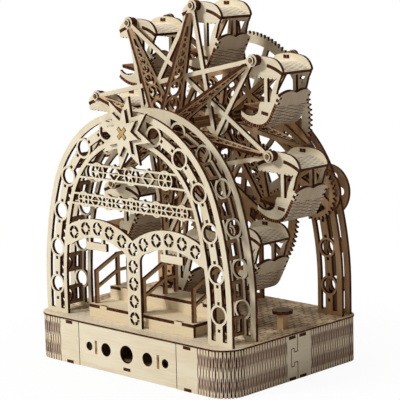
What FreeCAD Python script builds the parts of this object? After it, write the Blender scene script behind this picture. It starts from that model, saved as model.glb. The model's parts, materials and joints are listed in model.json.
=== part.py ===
"""Crank ferris wheel toy: a laser-cut plywood wheel kit, in millimetres.

Frame: +Z up, the decorated facade faces -Y, the crank is at the back (+Y) on the +X side.
The origin lies on the underside of the base, on the centre line, below the wheel's front half.
"""
import FreeCAD, Part
import math
import os

V = FreeCAD.Vector
doc = FreeCAD.newDocument("crank_ferris_wheel")

# ---------------------------------------------------------------- driving dimensions
DIMENSIONS = [
    # plywood and fits
    ("ply", 3.0, "thickness of the plywood sheet"),
    ("running_clearance", 0.06, "radial clearance of a turning pin or shaft in its hole"),
    ("side_clearance", 0.4, "free play beside a moving piece"),
    # base
    ("base_half_width", 122.4, "origin to the outer side wall"),
    ("base_front", 94.9, "origin to the outer front wall"),
    ("base_rear", 84.0, "origin to the outer rear wall"),
    ("front_corner", 20.0, "outer radius of the front corners"),
    ("rear_corner", 14.0, "outer radius of the rear corners"),
    ("wall_height", 41.0, "height of the base wall"),
    ("frame_drop", 0.7, "how far the inner frame lies below the top of the wall"),
    ("deck_thickness", 1.5, "thickness of the deck that covers the base"),
    ("deck_overhang", 0.8, "how far the deck reaches past the wall"),
    ("wrap_seam", -3.6, "Y of the puzzle seam in the side walls"),
    ("wall_tab", 9.0, "length of the tabs of frame and floor in the wall"),
    ("front_tab_x", 75.5, "X of the tabs in the front wall"),
    ("side_tab_y", 7.0, "Y distance of the side tabs from the seam"),
    ("puzzle_neck", 9.6, "height of the neck of the puzzle tab"),
    ("puzzle_head", 16.0, "height of the head of the puzzle tab"),
    ("puzzle_reach", 8.4, "length of the puzzle tab"),
    # drawer
    ("drawer_half_width", 62.0, "half width of the drawer front"),
    ("drawer_depth", 118.0, "length of the drawer box"),
    ("drawer_side_x", 39.8, "X of the drawer's side plates"),
    ("drawer_side_height", 29.0, "height of the drawer's side plates"),
    ("drawer_pull", 8.2, "radius of the finger hole in the drawer front"),
    ("drawer_hole", 6.2, "radius of the middle holes in the drawer front"),
    ("drawer_small_hole", 4.1, "radius of the outer holes in the drawer front"),
    ("drawer_hole_x", 26.6, "X of the middle holes in the drawer front"),
    ("drawer_small_hole_x", 48.6, "X of the outer holes in the drawer front"),
    ("drawer_tab", 12.6, "height of the side plates' tabs in the drawer front"),
    ("drawer_floor_lift", 1.7, "underside of the drawer to its floor board"),
    # arches
    ("arch_half_span", 103.0, "origin to the band's centre line at the foot"),
    ("arch_spring", 70.6, "height at which the legs start to lean in"),
    ("arch_apex", 222.2, "height of the band's centre line at the top"),
    ("arch_side_radius", 275.0, "radius of the legs' centre line"),
    ("band_outside", 15.0, "centre line to the outer edge of the band"),
    ("band_inside", 13.3, "centre line to the inner edge of the band"),
    ("ring_radius", 9.4, "outer radius of the rings in the band"),
    ("ring_bore", 7.3, "inner radius of the rings"),
    ("ring_start", 30.7, "apex to the first ring along the centre line"),
    ("ring_pitch", 35.3, "distance from ring to ring"),
    ("bar_width", 8.0, "width of the bars that join the rings"),
    ("tab_spacing", 14.6, "distance between the two tabs of a spacer"),
    ("tab_width", 2.8, "width of a spacer's tab"),
    ("foot_height", 4.0, "height of the cross bar at the foot of a leg"),
    ("front_arch_y", -81.6, "Y of the front arch"),
    ("second_arch_y", -51.7, "Y of the second arch"),
    ("third_arch_y", 65.6, "Y of the third arch"),
    ("rear_arch_y", 76.6, "Y of the rear arch"),
    # portal in the front arch
    ("portal_apex_x", 47.0, "X of the two portal crowns"),
    ("portal_top", 136.0, "height of the portal crowns"),
    ("portal_radius", 84.0, "radius of the upper edge of the portal"),
    ("portal_band", 17.0, "depth of the portal band"),
    ("portal_post", 16.6, "width of the portal's centre post"),
    ("portal_fillet", 9.0, "corner radius of the doorways"),
    ("motif_radius", 5.8, "outer radius of the pierced ring motifs"),
    ("motif_bore", 3.2, "inner radius of the pierced ring motifs"),
    ("motif_pitch", 15.8, "distance from motif to motif"),
    ("motif_bridge", 1.5, "width of the bridges that hold a motif's centre"),
    ("sign_width", 27.0, "width of a hanging board"),
    ("sign_height", 7.0, "height of a hanging board"),
    ("sign_drop", 4.6, "portal edge to the top of a hanging board"),
    ("rail_width", 1.8, "width of the thin fretwork rails"),
    ("fret_rail_1", 148.6, "height of the lowest fretwork rail"),
    ("fret_rail_2", 158.0, "height of the second fretwork rail"),
    ("fret_rail_3", 173.6, "height of the third fretwork rail"),
    ("fret_rail_4", 185.8, "height of the top fretwork rail"),
    # steps, railings and table
    ("step_half_width", 66.5, "half width of the boarding steps"),
    ("step_front", -77.0, "Y of the lower riser"),
    ("step_middle", -50.0, "Y of the upper riser"),
    ("step_back", -24.0, "Y of the back of the steps"),
    ("step_rise", 12.0, "height of one step"),
    ("railing_x", 62.0, "X of the outer railings"),
    ("railing_height", 31.5, "height of the handrail above its step"),
    ("railing_bar", 3.4, "width of the railings' posts and rails"),
    ("table_x", 104.0, "X of the small table"),
    ("table_y", -2.0, "Y of the small table"),
    ("table_height", 14.0, "height of the table's leg"),
    ("table_radius", 9.3, "radius of the table top"),
    # wheel
    ("axle_height", 218.7, "height of the wheel's axis"),
    ("pivot_radius", 109.4, "wheel axis to the gondolas' pins"),
    ("pivot_phase", -10.6, "angle of the first pin above +X"),
    ("wheel_centre_y", 6.7, "Y of the middle of the wheel"),
    ("frame_spacing", 53.4, "distance between the two star frames"),
    ("strut_width", 4.0, "width of the star frames' bars"),
    ("tip_radius", 5.4, "radius of the eyes at the frames' tips"),
    ("axle_width", 10.0, "width of the crossed axle strips"),
    ("hub_radius", 15.0, "radius of the hub discs"),
    ("arm_depth", 24.5, "depth of the fretted arms at the hub"),
    ("arm_tip_depth", 4.2, "depth of the fretted arms at the tip"),
    ("arm_reach", 102.5, "wheel axis to the end of the fretted arms"),
    ("arm_border", 2.2, "width of the border of the fretted arms"),
    ("scroll_width", 1.5, "width of the scrolls in the fretted arms"),
    ("star_radius", 33.0, "radius of the eight-pointed star"),
    ("star_inner", 17.0, "radius of the star's inner corners"),
    ("star_gap", 3.2, "front arch to the star"),
    ("pin_radius", 1.6, "radius of the gondolas' pins"),
    ("clip_radius", 4.6, "radius of the clips on the pins"),
    ("clip_thickness", 2.0, "thickness of the clips"),
    # gears
    ("gear_module", 1.5, "module of the gears"),
    ("wheel_teeth", 104.0, "teeth of the wheel gear"),
    ("pinion_teeth", 14.0, "teeth of the small pinion"),
    ("lay_teeth", 92.0, "teeth of the intermediate gear"),
    ("crank_teeth", 32.0, "teeth of the crank gear"),
    ("backlash", 0.34, "play between meshing teeth"),
    ("rim_width", 8.0, "width of the gear rims below the teeth"),
    ("lay_gear_gap", 1.4, "intermediate gear to the third arch"),
    ("shaft_radius", 3.0, "radius of the intermediate and crank shafts"),
    ("crank_angle", 15.08, "direction from intermediate to crank shaft above +X"),
    ("post_half_width", 12.0, "half width of the gear posts"),
    ("boss_radius", 8.2, "radius of the shaft eyes in the arches"),
    ("crank_disc_radius", 22.0, "radius of the disc between the rear arches"),
    ("crank_wheel_radius", 24.0, "radius of the hand wheel"),
    ("crank_gap", 2.0, "rear arch to the hand wheel"),
    ("knob_radius", 4.0, "radius of the crank knob"),
    ("knob_length", 15.0, "length of the crank knob"),
    ("knob_offset", 17.5, "crank shaft to the knob"),
    # gondolas
    ("gondola_length", 41.0, "outer length of a gondola along the axle"),
    ("canopy_front", 20.0, "pin to the front corner of the canopy"),
    ("canopy_back", 28.1, "pin to the rear corner of the canopy"),
    ("canopy_top", 3.4, "pin to the top of the canopy"),
    ("canopy_bottom", 14.4, "pin to the lower edge of the canopy at its rear corner"),
    ("canopy_slope", 1.5, "rise of the canopy's lower edge from rear to front"),
    ("scallop_radius", 2.3, "radius of the scallops under the canopy"),
    ("roof_top", 2.3, "pin down to the top of the bent roof sheet"),
    ("roof_radius", 48.8, "outer radius of the bent roof sheet"),
    ("roof_middle", 2.5, "pin to the middle of the roof sheet"),
    ("roof_tab_gap", 8.0, "middle of the roof to the start of its tabs"),
    ("post_width", 3.6, "width of a gondola's posts"),
    ("seat_depth", 56.0, "pin to the lowest point of the side plate"),
    ("keel_front_radius", 32.8, "radius of the front part of the keel"),
    ("keel_back_radius", 14.0, "radius of the rear part of the keel"),
    ("keel_front_angle", 38.0, "angle that the front part of the keel turns through"),
    ("back_lean", 28.0, "lean of the backrest"),
    ("back_top", 27.6, "pin to the saddle between the backrest's humps"),
    ("back_hump", 2.6, "rise of the backrest's humps"),
    ("back_tooth", 2.2, "width of the side plate's teeth in the backrest"),
    ("back_tooth_pitch", 5.1, "spacing of those teeth"),
    ("seat_height", 46.1, "pin to the middle of the seat board"),
    ("seat_x", 7.2, "pin back to the middle of the seat board's tabs"),
    ("seat_tilt", 10.0, "tilt of the seat board"),
    ("seat_tab", 8.0, "width of the seat board's tabs"),
]

sheet = doc.addObject("Spreadsheet::Sheet", "driving_dimensions")
for row, (alias, value, meaning) in enumerate(DIMENSIONS, 1):
    sheet.set(f"A{row}", meaning)
    sheet.set(f"B{row}", str(value))
    sheet.setAlias(f"B{row}", alias)
doc.recompute()


def dim(alias):
    """Value of one driving dimension."""
    return float(sheet.get(alias))


def bound(alias):
    """Expression that ties a property to a driving dimension."""
    return f"driving_dimensions.{alias}"


ply = dim("ply")
running = dim("running_clearance")
EIGHT = range(8)
SIDES = (-1, 1)

# ---------------------------------------------------------------- flat shapes


def upward(shape):
    """The same flat faces with every normal along +Z, so that booleans see them alike."""
    faces = [face if face.normalAt(0, 0).z > 0 else face.reversed() for face in shape.Faces]
    return faces[0] if len(faces) == 1 else Part.makeCompound(faces)


def flat(shape):
    """One face, or a compound of separate faces, from the result of a 2D boolean: the pieces
    into which the boolean splits a face are merged again, which works only inside a shell."""
    return upward(Part.makeShell(shape.Faces).removeSplitter())


def join(shapes):
    """Union of flat shapes."""
    first, *others = [upward(shape) for shape in shapes]
    return flat(first.multiFuse(others)) if others else first


def without(shape, cuts):
    """A flat shape with others cut out of it."""
    return flat(upward(shape).cut([upward(cut) for cut in cuts]))


def overlap(shape, other):
    """The part of a flat shape that lies inside another."""
    return flat(upward(shape).common(upward(other)))


def polygon(points):
    ends = [V(x, y, 0) for x, y in points]
    return Part.Face(Part.makePolygon(ends + ends[:1]))


def corners(x0, y0, x1, y1):
    return [(x0, y0), (x1, y0), (x1, y1), (x0, y1)]


def rectangle(x0, y0, x1, y1):
    return polygon(corners(x0, y0, x1, y1))


def bar(start, end, width):
    """Straight bar of a given width between two points."""
    (x0, y0), (x1, y1) = start, end
    length = math.hypot(x1 - x0, y1 - y0)
    nx, ny = -(y1 - y0) / length * width / 2, (x1 - x0) / length * width / 2
    return polygon([(x0 + nx, y0 + ny), (x1 + nx, y1 + ny), (x1 - nx, y1 - ny), (x0 - nx, y0 - ny)])


def disc(x, y, radius):
    return Part.Face(Part.Wire(Part.makeCircle(radius, V(x, y, 0))))


def ring(x, y, outer, inner):
    return without(disc(x, y, outer), [disc(x, y, inner)])


def polar(radius, degrees):
    return radius * math.cos(math.radians(degrees)), radius * math.sin(math.radians(degrees))


def sector(x, y, outer, inner, start, end):
    """Piece of a ring from one angle to another, counter-clockwise."""
    centre = V(x, y, 0)
    middle = (start + end) / 2

    def at(radius, degrees):
        return centre + V(*polar(radius, degrees), 0)
    edges = [
        Part.Arc(at(outer, start), at(outer, middle), at(outer, end)).toShape(),
        Part.makeLine(at(outer, end), at(inner, end)),
        Part.Arc(at(inner, end), at(inner, middle), at(inner, start)).toShape(),
        Part.makeLine(at(inner, start), at(outer, start)),
    ]
    return Part.Face(Part.Wire(edges))


def outline(points):
    """Face inside straight lines and three-point arcs: (x, y) ends a line,
    (mx, my, x, y) ends an arc through (mx, my). The first point is the start."""
    here = V(*points[0], 0)
    first = here
    edges = []
    for point in points[1:]:
        there = V(*point[-2:], 0)
        if len(point) == 4:
            edges.append(Part.Arc(here, V(*point[:2], 0), there).toShape())
        else:
            edges.append(Part.makeLine(here, there))
        here = there
    if here.distanceToPoint(first) > 1e-6:
        edges.append(Part.makeLine(here, first))
    return Part.Face(Part.Wire(edges))


def mirrored(shape):
    """A flat shape mirrored left to right, added to the shape itself."""
    return [shape, shape.mirror(V(0, 0, 0), V(1, 0, 0))]


def cross(clearance):
    """Section of the axle: two crossed plywood strips."""
    half = dim("axle_width") / 2 + clearance
    thin = ply / 2 + clearance
    return join([rectangle(-half, -thin, half, thin), rectangle(-thin, -half, thin, half)])


# ---------------------------------------------------------------- document objects
ALONG_X, ALONG_Y, ALONG_Z = V(1, 0, 0), V(0, 1, 0), V(0, 0, 1)
FLAT = FreeCAD.Rotation(ALONG_X, ALONG_Y, ALONG_Z, "XYZ")
FACING_FRONT = FreeCAD.Rotation(ALONG_X, ALONG_Z, -ALONG_Y, "XYZ")
FACING_SIDE = FreeCAD.Rotation(ALONG_Y, ALONG_Z, ALONG_X, "XYZ")
nodes = []


def extrusion(name, face, at, turn=FACING_FRONT, thickness="ply"):
    """A plate cut from sheet: its face is the middle plane of the plate."""
    profile = doc.addObject("Part::Feature", name + "_outline")
    profile.Shape = face
    plate = doc.addObject("Part::Extrusion", name)
    plate.Base = profile
    plate.DirMode = "Custom"
    plate.Dir = ALONG_Z
    plate.Solid = True
    plate.Symmetric = True
    plate.setExpression("LengthFwd", thickness if "." in thickness else bound(thickness))
    plate.Placement = FreeCAD.Placement(at, turn)
    return plate


def node(name, *pieces):
    """Names a sub-part: one object, or a compound of several solids."""
    if len(pieces) == 1:
        part = pieces[0]
    else:
        part = doc.addObject("Part::Compound", name)
        part.Links = list(pieces)
    part.Label = name
    nodes.append(part)
    return part


def cylinder(name, radius, height, base, direction=ALONG_Y):
    """Round bar whose radius and height are expressions on the sheet."""
    rod = doc.addObject("Part::Cylinder", name)
    rod.setExpression("Radius", radius)
    rod.setExpression("Height", height)
    rod.Placement = FreeCAD.Placement(base, FreeCAD.Rotation(ALONG_Z, direction))
    return rod


def box(name, length, width, height, corner):
    """Board whose sizes are expressions on the sheet, from its lowest corner."""
    board = doc.addObject("Part::Box", name)
    board.setExpression("Length", length)
    board.setExpression("Width", width)
    board.setExpression("Height", height)
    board.Placement.Base = corner
    return board


def sketch_on(body, role, name, geometry):
    """Sketch on one of the body's own origin planes."""
    sketch = body.newObject("Sketcher::SketchObject", name)
    plane = [item for item in body.Origin.OriginFeatures if item.Role == role][0]
    sketch.AttachmentSupport = (plane, "")
    sketch.MapMode = "FlatFace"
    for item in geometry:
        sketch.addGeometry(item)
    return sketch


def padded_body(name, role, geometry, length):
    """PartDesign body: a sketch padded along its normal."""
    body = doc.addObject("PartDesign::Body", name)
    pad = body.newObject("PartDesign::Pad", name + "_pad")
    pad.Profile = sketch_on(body, role, name + "_sketch", geometry)
    pad.setExpression("Length", length)
    return body


def pocket(body, role, name, geometry):
    """Through pocket both ways, so that its direction can't miss the plate."""
    cut = body.newObject("PartDesign::Pocket", name)
    cut.Profile = sketch_on(body, role, name + "_sketch", geometry)
    cut.Type = "ThroughAll"
    cut.SideType = "Symmetric"
    return cut


def line(x0, y0, x1, y1):
    return Part.LineSegment(V(x0, y0, 0), V(x1, y1, 0))


def circle(x, y, radius):
    return Part.Circle(V(x, y, 0), ALONG_Z, radius)


def corner_arc(x, y, radius, start):
    begin = math.radians(start)
    return Part.ArcOfCircle(circle(x, y, radius), begin, begin + math.pi / 2)


def closed_lines(points):
    ends = points[1:] + points[:1]
    return [line(*start, *end) for start, end in zip(points, ends)]


# ---------------------------------------------------------------- base
half_width = dim("base_half_width")
front_y = -dim("base_front")
rear_y = dim("base_rear")
front_corner = dim("front_corner")
rear_corner = dim("rear_corner")
wall_height = dim("wall_height")
deck_top = wall_height + dim("deck_thickness")
frame_bottom = wall_height - dim("frame_drop") - ply
seam_y = dim("wrap_seam")
wall_tab = dim("wall_tab")
drawer_half = dim("drawer_half_width")
front_gap = drawer_half + dim("side_clearance") * 2
drawer_side = dim("drawer_side_x")


def base_geometry(inset):
    """Sketch geometry of the rounded base outline, a given distance inside the wall's face."""
    x = half_width - inset
    low = front_y + inset
    high = rear_y - inset
    front_r = front_corner - inset
    rear_r = rear_corner - inset
    return [
        line(-x + front_r, low, x - front_r, low),
        corner_arc(x - front_r, low + front_r, front_r, 270),
        line(x, low + front_r, x, high - rear_r),
        corner_arc(x - rear_r, high - rear_r, rear_r, 0),
        line(x - rear_r, high, -x + rear_r, high),
        corner_arc(-x + rear_r, high - rear_r, rear_r, 90),
        line(-x, high - rear_r, -x, low + front_r),
        corner_arc(-x + front_r, low + front_r, front_r, 180),
    ]


def base_face(inset):
    edges = [item.toShape() for item in base_geometry(inset)]
    return Part.Face(Part.Wire(Part.__sortEdges__(edges)))


# Tabs of frame and floor: (x, y) of the middle of each tab's outer end, and its direction.
tab_places = []
for side in SIDES:
    tab_places.append((side * dim("front_tab_x"), front_y, 0))
    tab_places.append((side * dim("front_tab_x"), rear_y, 0))
    for shift in SIDES:
        tab_places.append((side * half_width, seam_y + shift * dim("side_tab_y"), 90))


def tab_face(x, y, degrees, extra=0.0):
    """Tab outline that reaches from inside the wall to its outer face."""
    half = wall_tab / 2 + extra
    deep = ply
    if degrees == 0:
        inside = y + math.copysign(deep, -y)
        return rectangle(x - half, min(y, inside), x + half, max(y, inside))
    inside = x - math.copysign(deep, x)
    return rectangle(min(x, inside), y - half, max(x, inside), y + half)


def tabbed_board(name, bottom):
    """Board that fills the base inside the wall, with tabs through the wall."""
    body = padded_body(name, "XY_Plane", base_geometry(ply), bound("ply"))
    for index, (x, y, degrees) in enumerate(tab_places):
        face = tab_face(x, y, degrees)
        bounds = face.BoundBox
        grow = ply / 2
        low_x = bounds.XMin - (grow if degrees == 90 and x > 0 else 0)
        high_x = bounds.XMax + (grow if degrees == 90 and x < 0 else 0)
        low_y = bounds.YMin - (grow if degrees == 0 and y > 0 else 0)
        high_y = bounds.YMax + (grow if degrees == 0 and y < 0 else 0)
        tab = body.newObject("PartDesign::Pad", f"{name}_tab_{index}")
        tab_lines = closed_lines(corners(low_x, low_y, high_x, high_y))
        tab.Profile = sketch_on(body, "XY_Plane", f"{name}_tab_{index}_sketch", tab_lines)
        tab.setExpression("Length", bound("ply"))
    body.Placement.Base = V(0, 0, bottom)
    return body


node("base_floor", tabbed_board("base_floor", 0))
node("base_frame", tabbed_board("base_frame", frame_bottom))
deck_body = padded_body(
    "base_deck", "XY_Plane", base_geometry(-dim("deck_overhang")), bound("deck_thickness"))
deck_body.Placement.Base = V(0, 0, wall_height)
node("base_deck", deck_body)

# Walls: four bent pieces, joined by a puzzle seam in each side and a plain seam at the back.
wall_ring = without(base_face(0), [base_face(ply)])
reach = dim("puzzle_reach")
tab_slots = [tab_face(x, y, degrees) for x, y, degrees in tab_places]
wall_middle = wall_height / 2


def puzzle_tab(grow):
    """Side view (Y, Z) of the tab that the rear wall hooks into the front wall."""
    neck = dim("puzzle_neck") / 2 + grow
    head = dim("puzzle_head") / 2 + grow
    tip = seam_y - reach - grow
    shoulder = seam_y - reach * 0.55 + grow
    root = seam_y + 1
    return polygon([
        (root, wall_middle - neck), (root, wall_middle + neck), (shoulder, wall_middle + neck),
        (shoulder, wall_middle + head), (tip, wall_middle + head), (tip, wall_middle - head),
        (shoulder, wall_middle - head), (shoulder, wall_middle - neck),
    ])


def wall_piece(name, face, tab_grow, takes_tab):
    """One bent wall, with slots for the tabs and its half of the puzzle seam."""
    wall = extrusion(name + "_blank", face, V(0, 0, wall_middle), FLAT, "wall_height")
    side = 1 if face.BoundBox.Center.x > 0 else -1
    slots = []
    for level, bottom in (("floor", 0), ("frame", frame_bottom)):
        slot_face = Part.makeCompound(tab_slots)
        slots.append(extrusion(f"{name}_{level}_slots", slot_face, V(0, 0, bottom + ply / 2), FLAT))
    key_place = V(side * (half_width - ply / 2), 0, 0)
    key = extrusion(name + "_key", puzzle_tab(tab_grow), key_place, FACING_SIDE)
    cut = doc.addObject("Part::Cut", name + "_slotted")
    cutters = doc.addObject("Part::Compound", name + "_cutters")
    cut.Base = wall
    cut.Tool = cutters
    if takes_tab:
        cutters.Links = slots + [key]
        return node(name, cut)
    cutters.Links = slots
    joined = doc.addObject("Part::Fuse", name)
    joined.Base = cut
    joined.Tool = key
    joined.Refine = True
    return node(name, joined)


seam_clearance = 0.1
far = half_width * 2
for side, label in ((-1, "left"), (1, "right")):
    x_low, x_high = sorted((side * front_gap, side * far))
    front_half = overlap(wall_ring, rectangle(x_low, -far, x_high, seam_y))
    wall_piece(f"front_{label}_wall", front_half, seam_clearance, True)
    x_low, x_high = sorted((0, side * far))
    rear_half = overlap(wall_ring, rectangle(x_low, seam_y + seam_clearance, x_high, far))
    wall_piece(f"rear_{label}_wall", rear_half, 0.0, False)

# Ribs under the frame guide the drawer and tie floor and frame together.
rib_x = drawer_side + ply / 2 + dim("side_clearance")
rib_expression = f"{bound('wall_height')} - {bound('frame_drop')} - 2 * {bound('ply')}"
rib_pieces = []
rib_front = front_y + 3 * ply
rib_length = rear_y - 2 * ply - rib_front
for side, label in ((-1, "left"), (1, "right")):
    corner_x = rib_x if side > 0 else -rib_x - ply
    rib_corner = V(corner_x, rib_front, ply)
    rib = box(f"{label}_rib", bound("ply"), str(rib_length), rib_expression, rib_corner)
    rib_pieces.append(rib)
stop_y = front_y + ply + dim("drawer_depth") + 2 * ply
cross_rib = box("cross_rib", str(2 * rib_x), bound("ply"), rib_expression, V(-rib_x, stop_y, ply))
node("base_ribs", *rib_pieces, cross_rib)

# ---------------------------------------------------------------- drawer
drawer_gap = dim("side_clearance")
drawer_bottom = ply + drawer_gap
drawer_side_height = dim("drawer_side_height")
drawer_depth = dim("drawer_depth")
box_inside = drawer_side - ply / 2
drawer_top = wall_height - drawer_gap
hole_height = wall_height / 2
front_rectangle = corners(-drawer_half, drawer_gap, drawer_half, drawer_top)
front_body = padded_body("drawer_front", "XZ_Plane", closed_lines(front_rectangle), bound("ply"))
holes = [circle(0, hole_height, dim("drawer_pull"))]
for side in SIDES:
    holes.append(circle(side * dim("drawer_hole_x"), hole_height, dim("drawer_hole")))
    holes.append(circle(side * dim("drawer_small_hole_x"), hole_height, dim("drawer_small_hole")))
pocket(front_body, "XZ_Plane", "drawer_front_holes", holes)
tab_half = dim("drawer_tab") / 2
floor_z = drawer_bottom + dim("drawer_floor_lift")
slots = []
for side in SIDES:
    x_low, x_high = side * drawer_side - ply / 2, side * drawer_side + ply / 2
    low, high = hole_height - tab_half, hole_height + tab_half
    slots += closed_lines(corners(x_low, low, x_high, high))
half_tab = wall_tab / 2
slots += closed_lines(corners(-half_tab, floor_z, half_tab, floor_z + ply))
pocket(front_body, "XZ_Plane", "drawer_front_slots", slots)
front_body.Placement.Base = V(0, front_y + ply, 0)
node("drawer_front", front_body)

drawer_back = front_y + ply + drawer_depth
drawer_floor_face = join([
    rectangle(-box_inside, front_y + ply, box_inside, drawer_back - ply),
    rectangle(-half_tab, front_y, half_tab, front_y + 2 * ply),
])
node("drawer_floor", extrusion("drawer_floor", drawer_floor_face, V(0, 0, floor_z + ply / 2), FLAT))
side_face = join([
    rectangle(front_y + ply, drawer_bottom, drawer_back, drawer_bottom + drawer_side_height),
    rectangle(front_y, hole_height - tab_half, front_y + 2 * ply, hole_height + tab_half),
])
drawer_walls = []
for side, label in ((-1, "left"), (1, "right")):
    side_place = V(side * drawer_side, 0, 0)
    drawer_walls.append(extrusion(f"drawer_{label}_side", side_face, side_place, FACING_SIDE))
back_face = rectangle(-box_inside, drawer_bottom, box_inside, drawer_bottom + drawer_side_height)
drawer_walls.append(extrusion("drawer_back", back_face, V(0, drawer_back - ply / 2, 0)))
node("drawer_sides", *drawer_walls)

# ---------------------------------------------------------------- arches
half_span = dim("arch_half_span")
spring = dim("arch_spring")
side_radius = dim("arch_side_radius")
side_centre_x = half_span - side_radius
lean = math.pi / 2 - 2 * math.atan((spring + side_radius - dim("arch_apex")) / -side_centre_x)
top_radius = side_radius + side_centre_x / math.cos(lean)
top_centre_z = spring - side_centre_x * math.tan(lean)
top_length = top_radius * (math.pi / 2 - lean)
side_length = side_radius * lean
band_out = dim("band_outside")
band_in = dim("band_inside")
ring_r = dim("ring_radius")
ring_places = [dim("ring_start") + index * dim("ring_pitch") for index in range(6)]
bar_places = [place + dim("ring_pitch") / 2 for place in ring_places]
axle_height = dim("axle_height")


def on_band(distance, offset=0.0):
    """Point at a distance from the apex along the right half of the band's centre line,
    moved outwards by an offset, with the direction of the outward normal in degrees."""
    if distance < top_length:
        angle = math.pi / 2 - distance / top_radius
        radius = top_radius + offset
        return radius * math.cos(angle), top_centre_z + radius * math.sin(angle), math.degrees(angle)
    if distance < top_length + side_length:
        angle = lean - (distance - top_length) / side_radius
        radius = side_radius + offset
        x = side_centre_x + radius * math.cos(angle)
        return x, spring + radius * math.sin(angle), math.degrees(angle)
    return half_span + offset, spring - (distance - top_length - side_length), 0.0


def under_band(offset, bottom):
    """Everything inside the band's centre line moved by an offset, above a given height."""
    foot = (half_span + offset, bottom)
    spring_point = (half_span + offset, spring)
    side_middle = on_band(top_length + side_length / 2, offset)[:2]
    shoulder = on_band(top_length, offset)[:2]
    apex = on_band(0, offset)[:2]

    def left(point):
        return -point[0], point[1]
    return outline([
        left(foot), foot, spring_point, (*side_middle, *shoulder), (*apex, *left(shoulder)),
        (*left(side_middle), *left(spring_point)),
    ])


def band_bar(distance, length, width):
    """Bar along the band's centre line at a given place on the right."""
    x, z, normal = on_band(distance)
    dx, dz = polar(length / 2, normal + 90)
    return bar((x - dx, z - dz), (x + dx, z + dz), width)


def across_bar(distance, along, size):
    """Square hole for a spacer's tab, a distance along the bar from its middle."""
    x, z, normal = on_band(distance)
    dx, dz = polar(along, normal + 90)
    tx, tz = polar(size / 2, normal + 90)
    return bar((x + dx - tx, z + dz - tz), (x + dx + tx, z + dz + tz), ply)


foot_place = top_length + side_length + spring - deck_top
last_bar_length = foot_place - ring_places[-1]
last_bar_middle = ring_places[-1] + last_bar_length / 2
tab_reach = dim("tab_spacing") / 2
tab_width = dim("tab_width")


def arch_face():
    """The open band that all four arches share: two strips, rings, bars, feet and crown."""
    outer = under_band(band_out, deck_top)
    inner = under_band(-band_in, deck_top)
    band = without(outer, [inner])
    hollow = without(under_band(ring_r - 0.2, deck_top), [under_band(-ring_r + 0.2, deck_top)])
    links = []
    for place in ring_places:
        x, z, _ = on_band(place)
        links += mirrored(disc(x, z, ring_r))
    for place in bar_places[:-1]:
        links += mirrored(band_bar(place, dim("ring_pitch") - 2 * ring_r + 1, dim("bar_width")))
    links += mirrored(band_bar(last_bar_middle, last_bar_length, dim("bar_width")))
    foot_top = deck_top + dim("foot_height")
    links += mirrored(rectangle(half_span - ring_r, deck_top, half_span + ring_r, foot_top))
    crown_half = on_band(ring_places[0] - ring_r + 0.5)[0]
    crown = overlap(band, rectangle(-crown_half, top_centre_z, crown_half, dim("arch_apex") + 2 * band_out))
    holes = []
    for place in ring_places:
        x, z, _ = on_band(place)
        holes += mirrored(disc(x, z, dim("ring_bore")))
    for place in bar_places[:-1]:
        for end in SIDES:
            holes += mirrored(across_bar(place, end * tab_reach, tab_width))
    holes += mirrored(across_bar(last_bar_middle, 0, tab_width))
    frame = without(band, [hollow])
    return without(join([frame, crown] + links), holes)


def axle_hole():
    corner = math.hypot(dim("axle_width") / 2, ply / 2)
    return disc(0, axle_height, corner + running)


plain_arch = arch_face()

# Portal of the front arch: two crowns, a centre post and rows of pierced rings.
portal_x = dim("portal_apex_x")
portal_top = dim("portal_top")
portal_radius = dim("portal_radius")
portal_band = dim("portal_band")
post_half = dim("portal_post") / 2


def crown_height(x, radius, top):
    """Height of a portal curve at x, for the crown on the same side."""
    return top - radius + math.sqrt(radius ** 2 - (abs(x) - portal_x) ** 2)


def doorway():
    """Opening under the right crown, with rounded upper corners."""
    low_radius = portal_radius - portal_band
    top = portal_top - portal_band
    fillet = dim("portal_fillet")
    x0 = post_half
    x1 = half_span - band_in + 1
    shoulder0 = crown_height(x0 + fillet, low_radius, top)
    shoulder1 = crown_height(x1 - fillet, low_radius, top)
    bend = fillet * (1 - math.sqrt(0.5))
    return outline([
        (x0, deck_top - 1), (x1, deck_top - 1), (x1, shoulder1 - fillet),
        (x1 - bend, shoulder1 - bend, x1 - fillet, shoulder1),
        (portal_x, top, x0 + fillet, shoulder0),
        (x0 + bend, shoulder0 - bend, x0, shoulder0 - fillet),
    ])


def motif(x, z):
    """Four slots in a ring, held by bridges at forty-five degrees."""
    outer, inner = dim("motif_radius"), dim("motif_bore")
    bridge = math.degrees(dim("motif_bridge") / (outer + inner))
    return [
        sector(x, z, outer, inner, quarter + bridge - 45, quarter + 45 - bridge)
        for quarter in (0, 90, 180, 270)
    ]


def portal_face():
    field = under_band(-band_in + 0.5, deck_top)
    bumps = []
    for side in SIDES:
        bumps.append(disc(side * portal_x, portal_top - portal_radius, portal_radius))
    middle = rectangle(-half_span, deck_top, half_span, portal_top)
    upper = overlap(overlap(join(bumps), middle), field)
    cuts = mirrored(doorway())
    cuts.append(rectangle(-half_span, deck_top - 2, -post_half, portal_top - portal_band - 24))
    cuts.append(rectangle(post_half, deck_top - 2, half_span, portal_top - portal_band - 24))
    middle_radius = portal_radius - portal_band / 2
    for index in range(5):
        x = portal_x + (index - 2.1) * dim("motif_pitch")
        z = crown_height(x, middle_radius, portal_top - portal_band / 2)
        for slot in motif(x, z):
            cuts += mirrored(slot)
    first = deck_top + portal_band / 2
    for index in range(5):
        cuts += motif(0, first + index * dim("motif_pitch"))
    return without(upper, cuts)


front_face = without(join([plain_arch, portal_face()]), [axle_hole()])
node("front_arch", extrusion("front_arch", front_face, V(0, dim("front_arch_y"), 0)))
second_face = without(plain_arch, [axle_hole()])
node("second_arch", extrusion("second_arch", second_face, V(0, dim("second_arch_y"), 0)))

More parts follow.
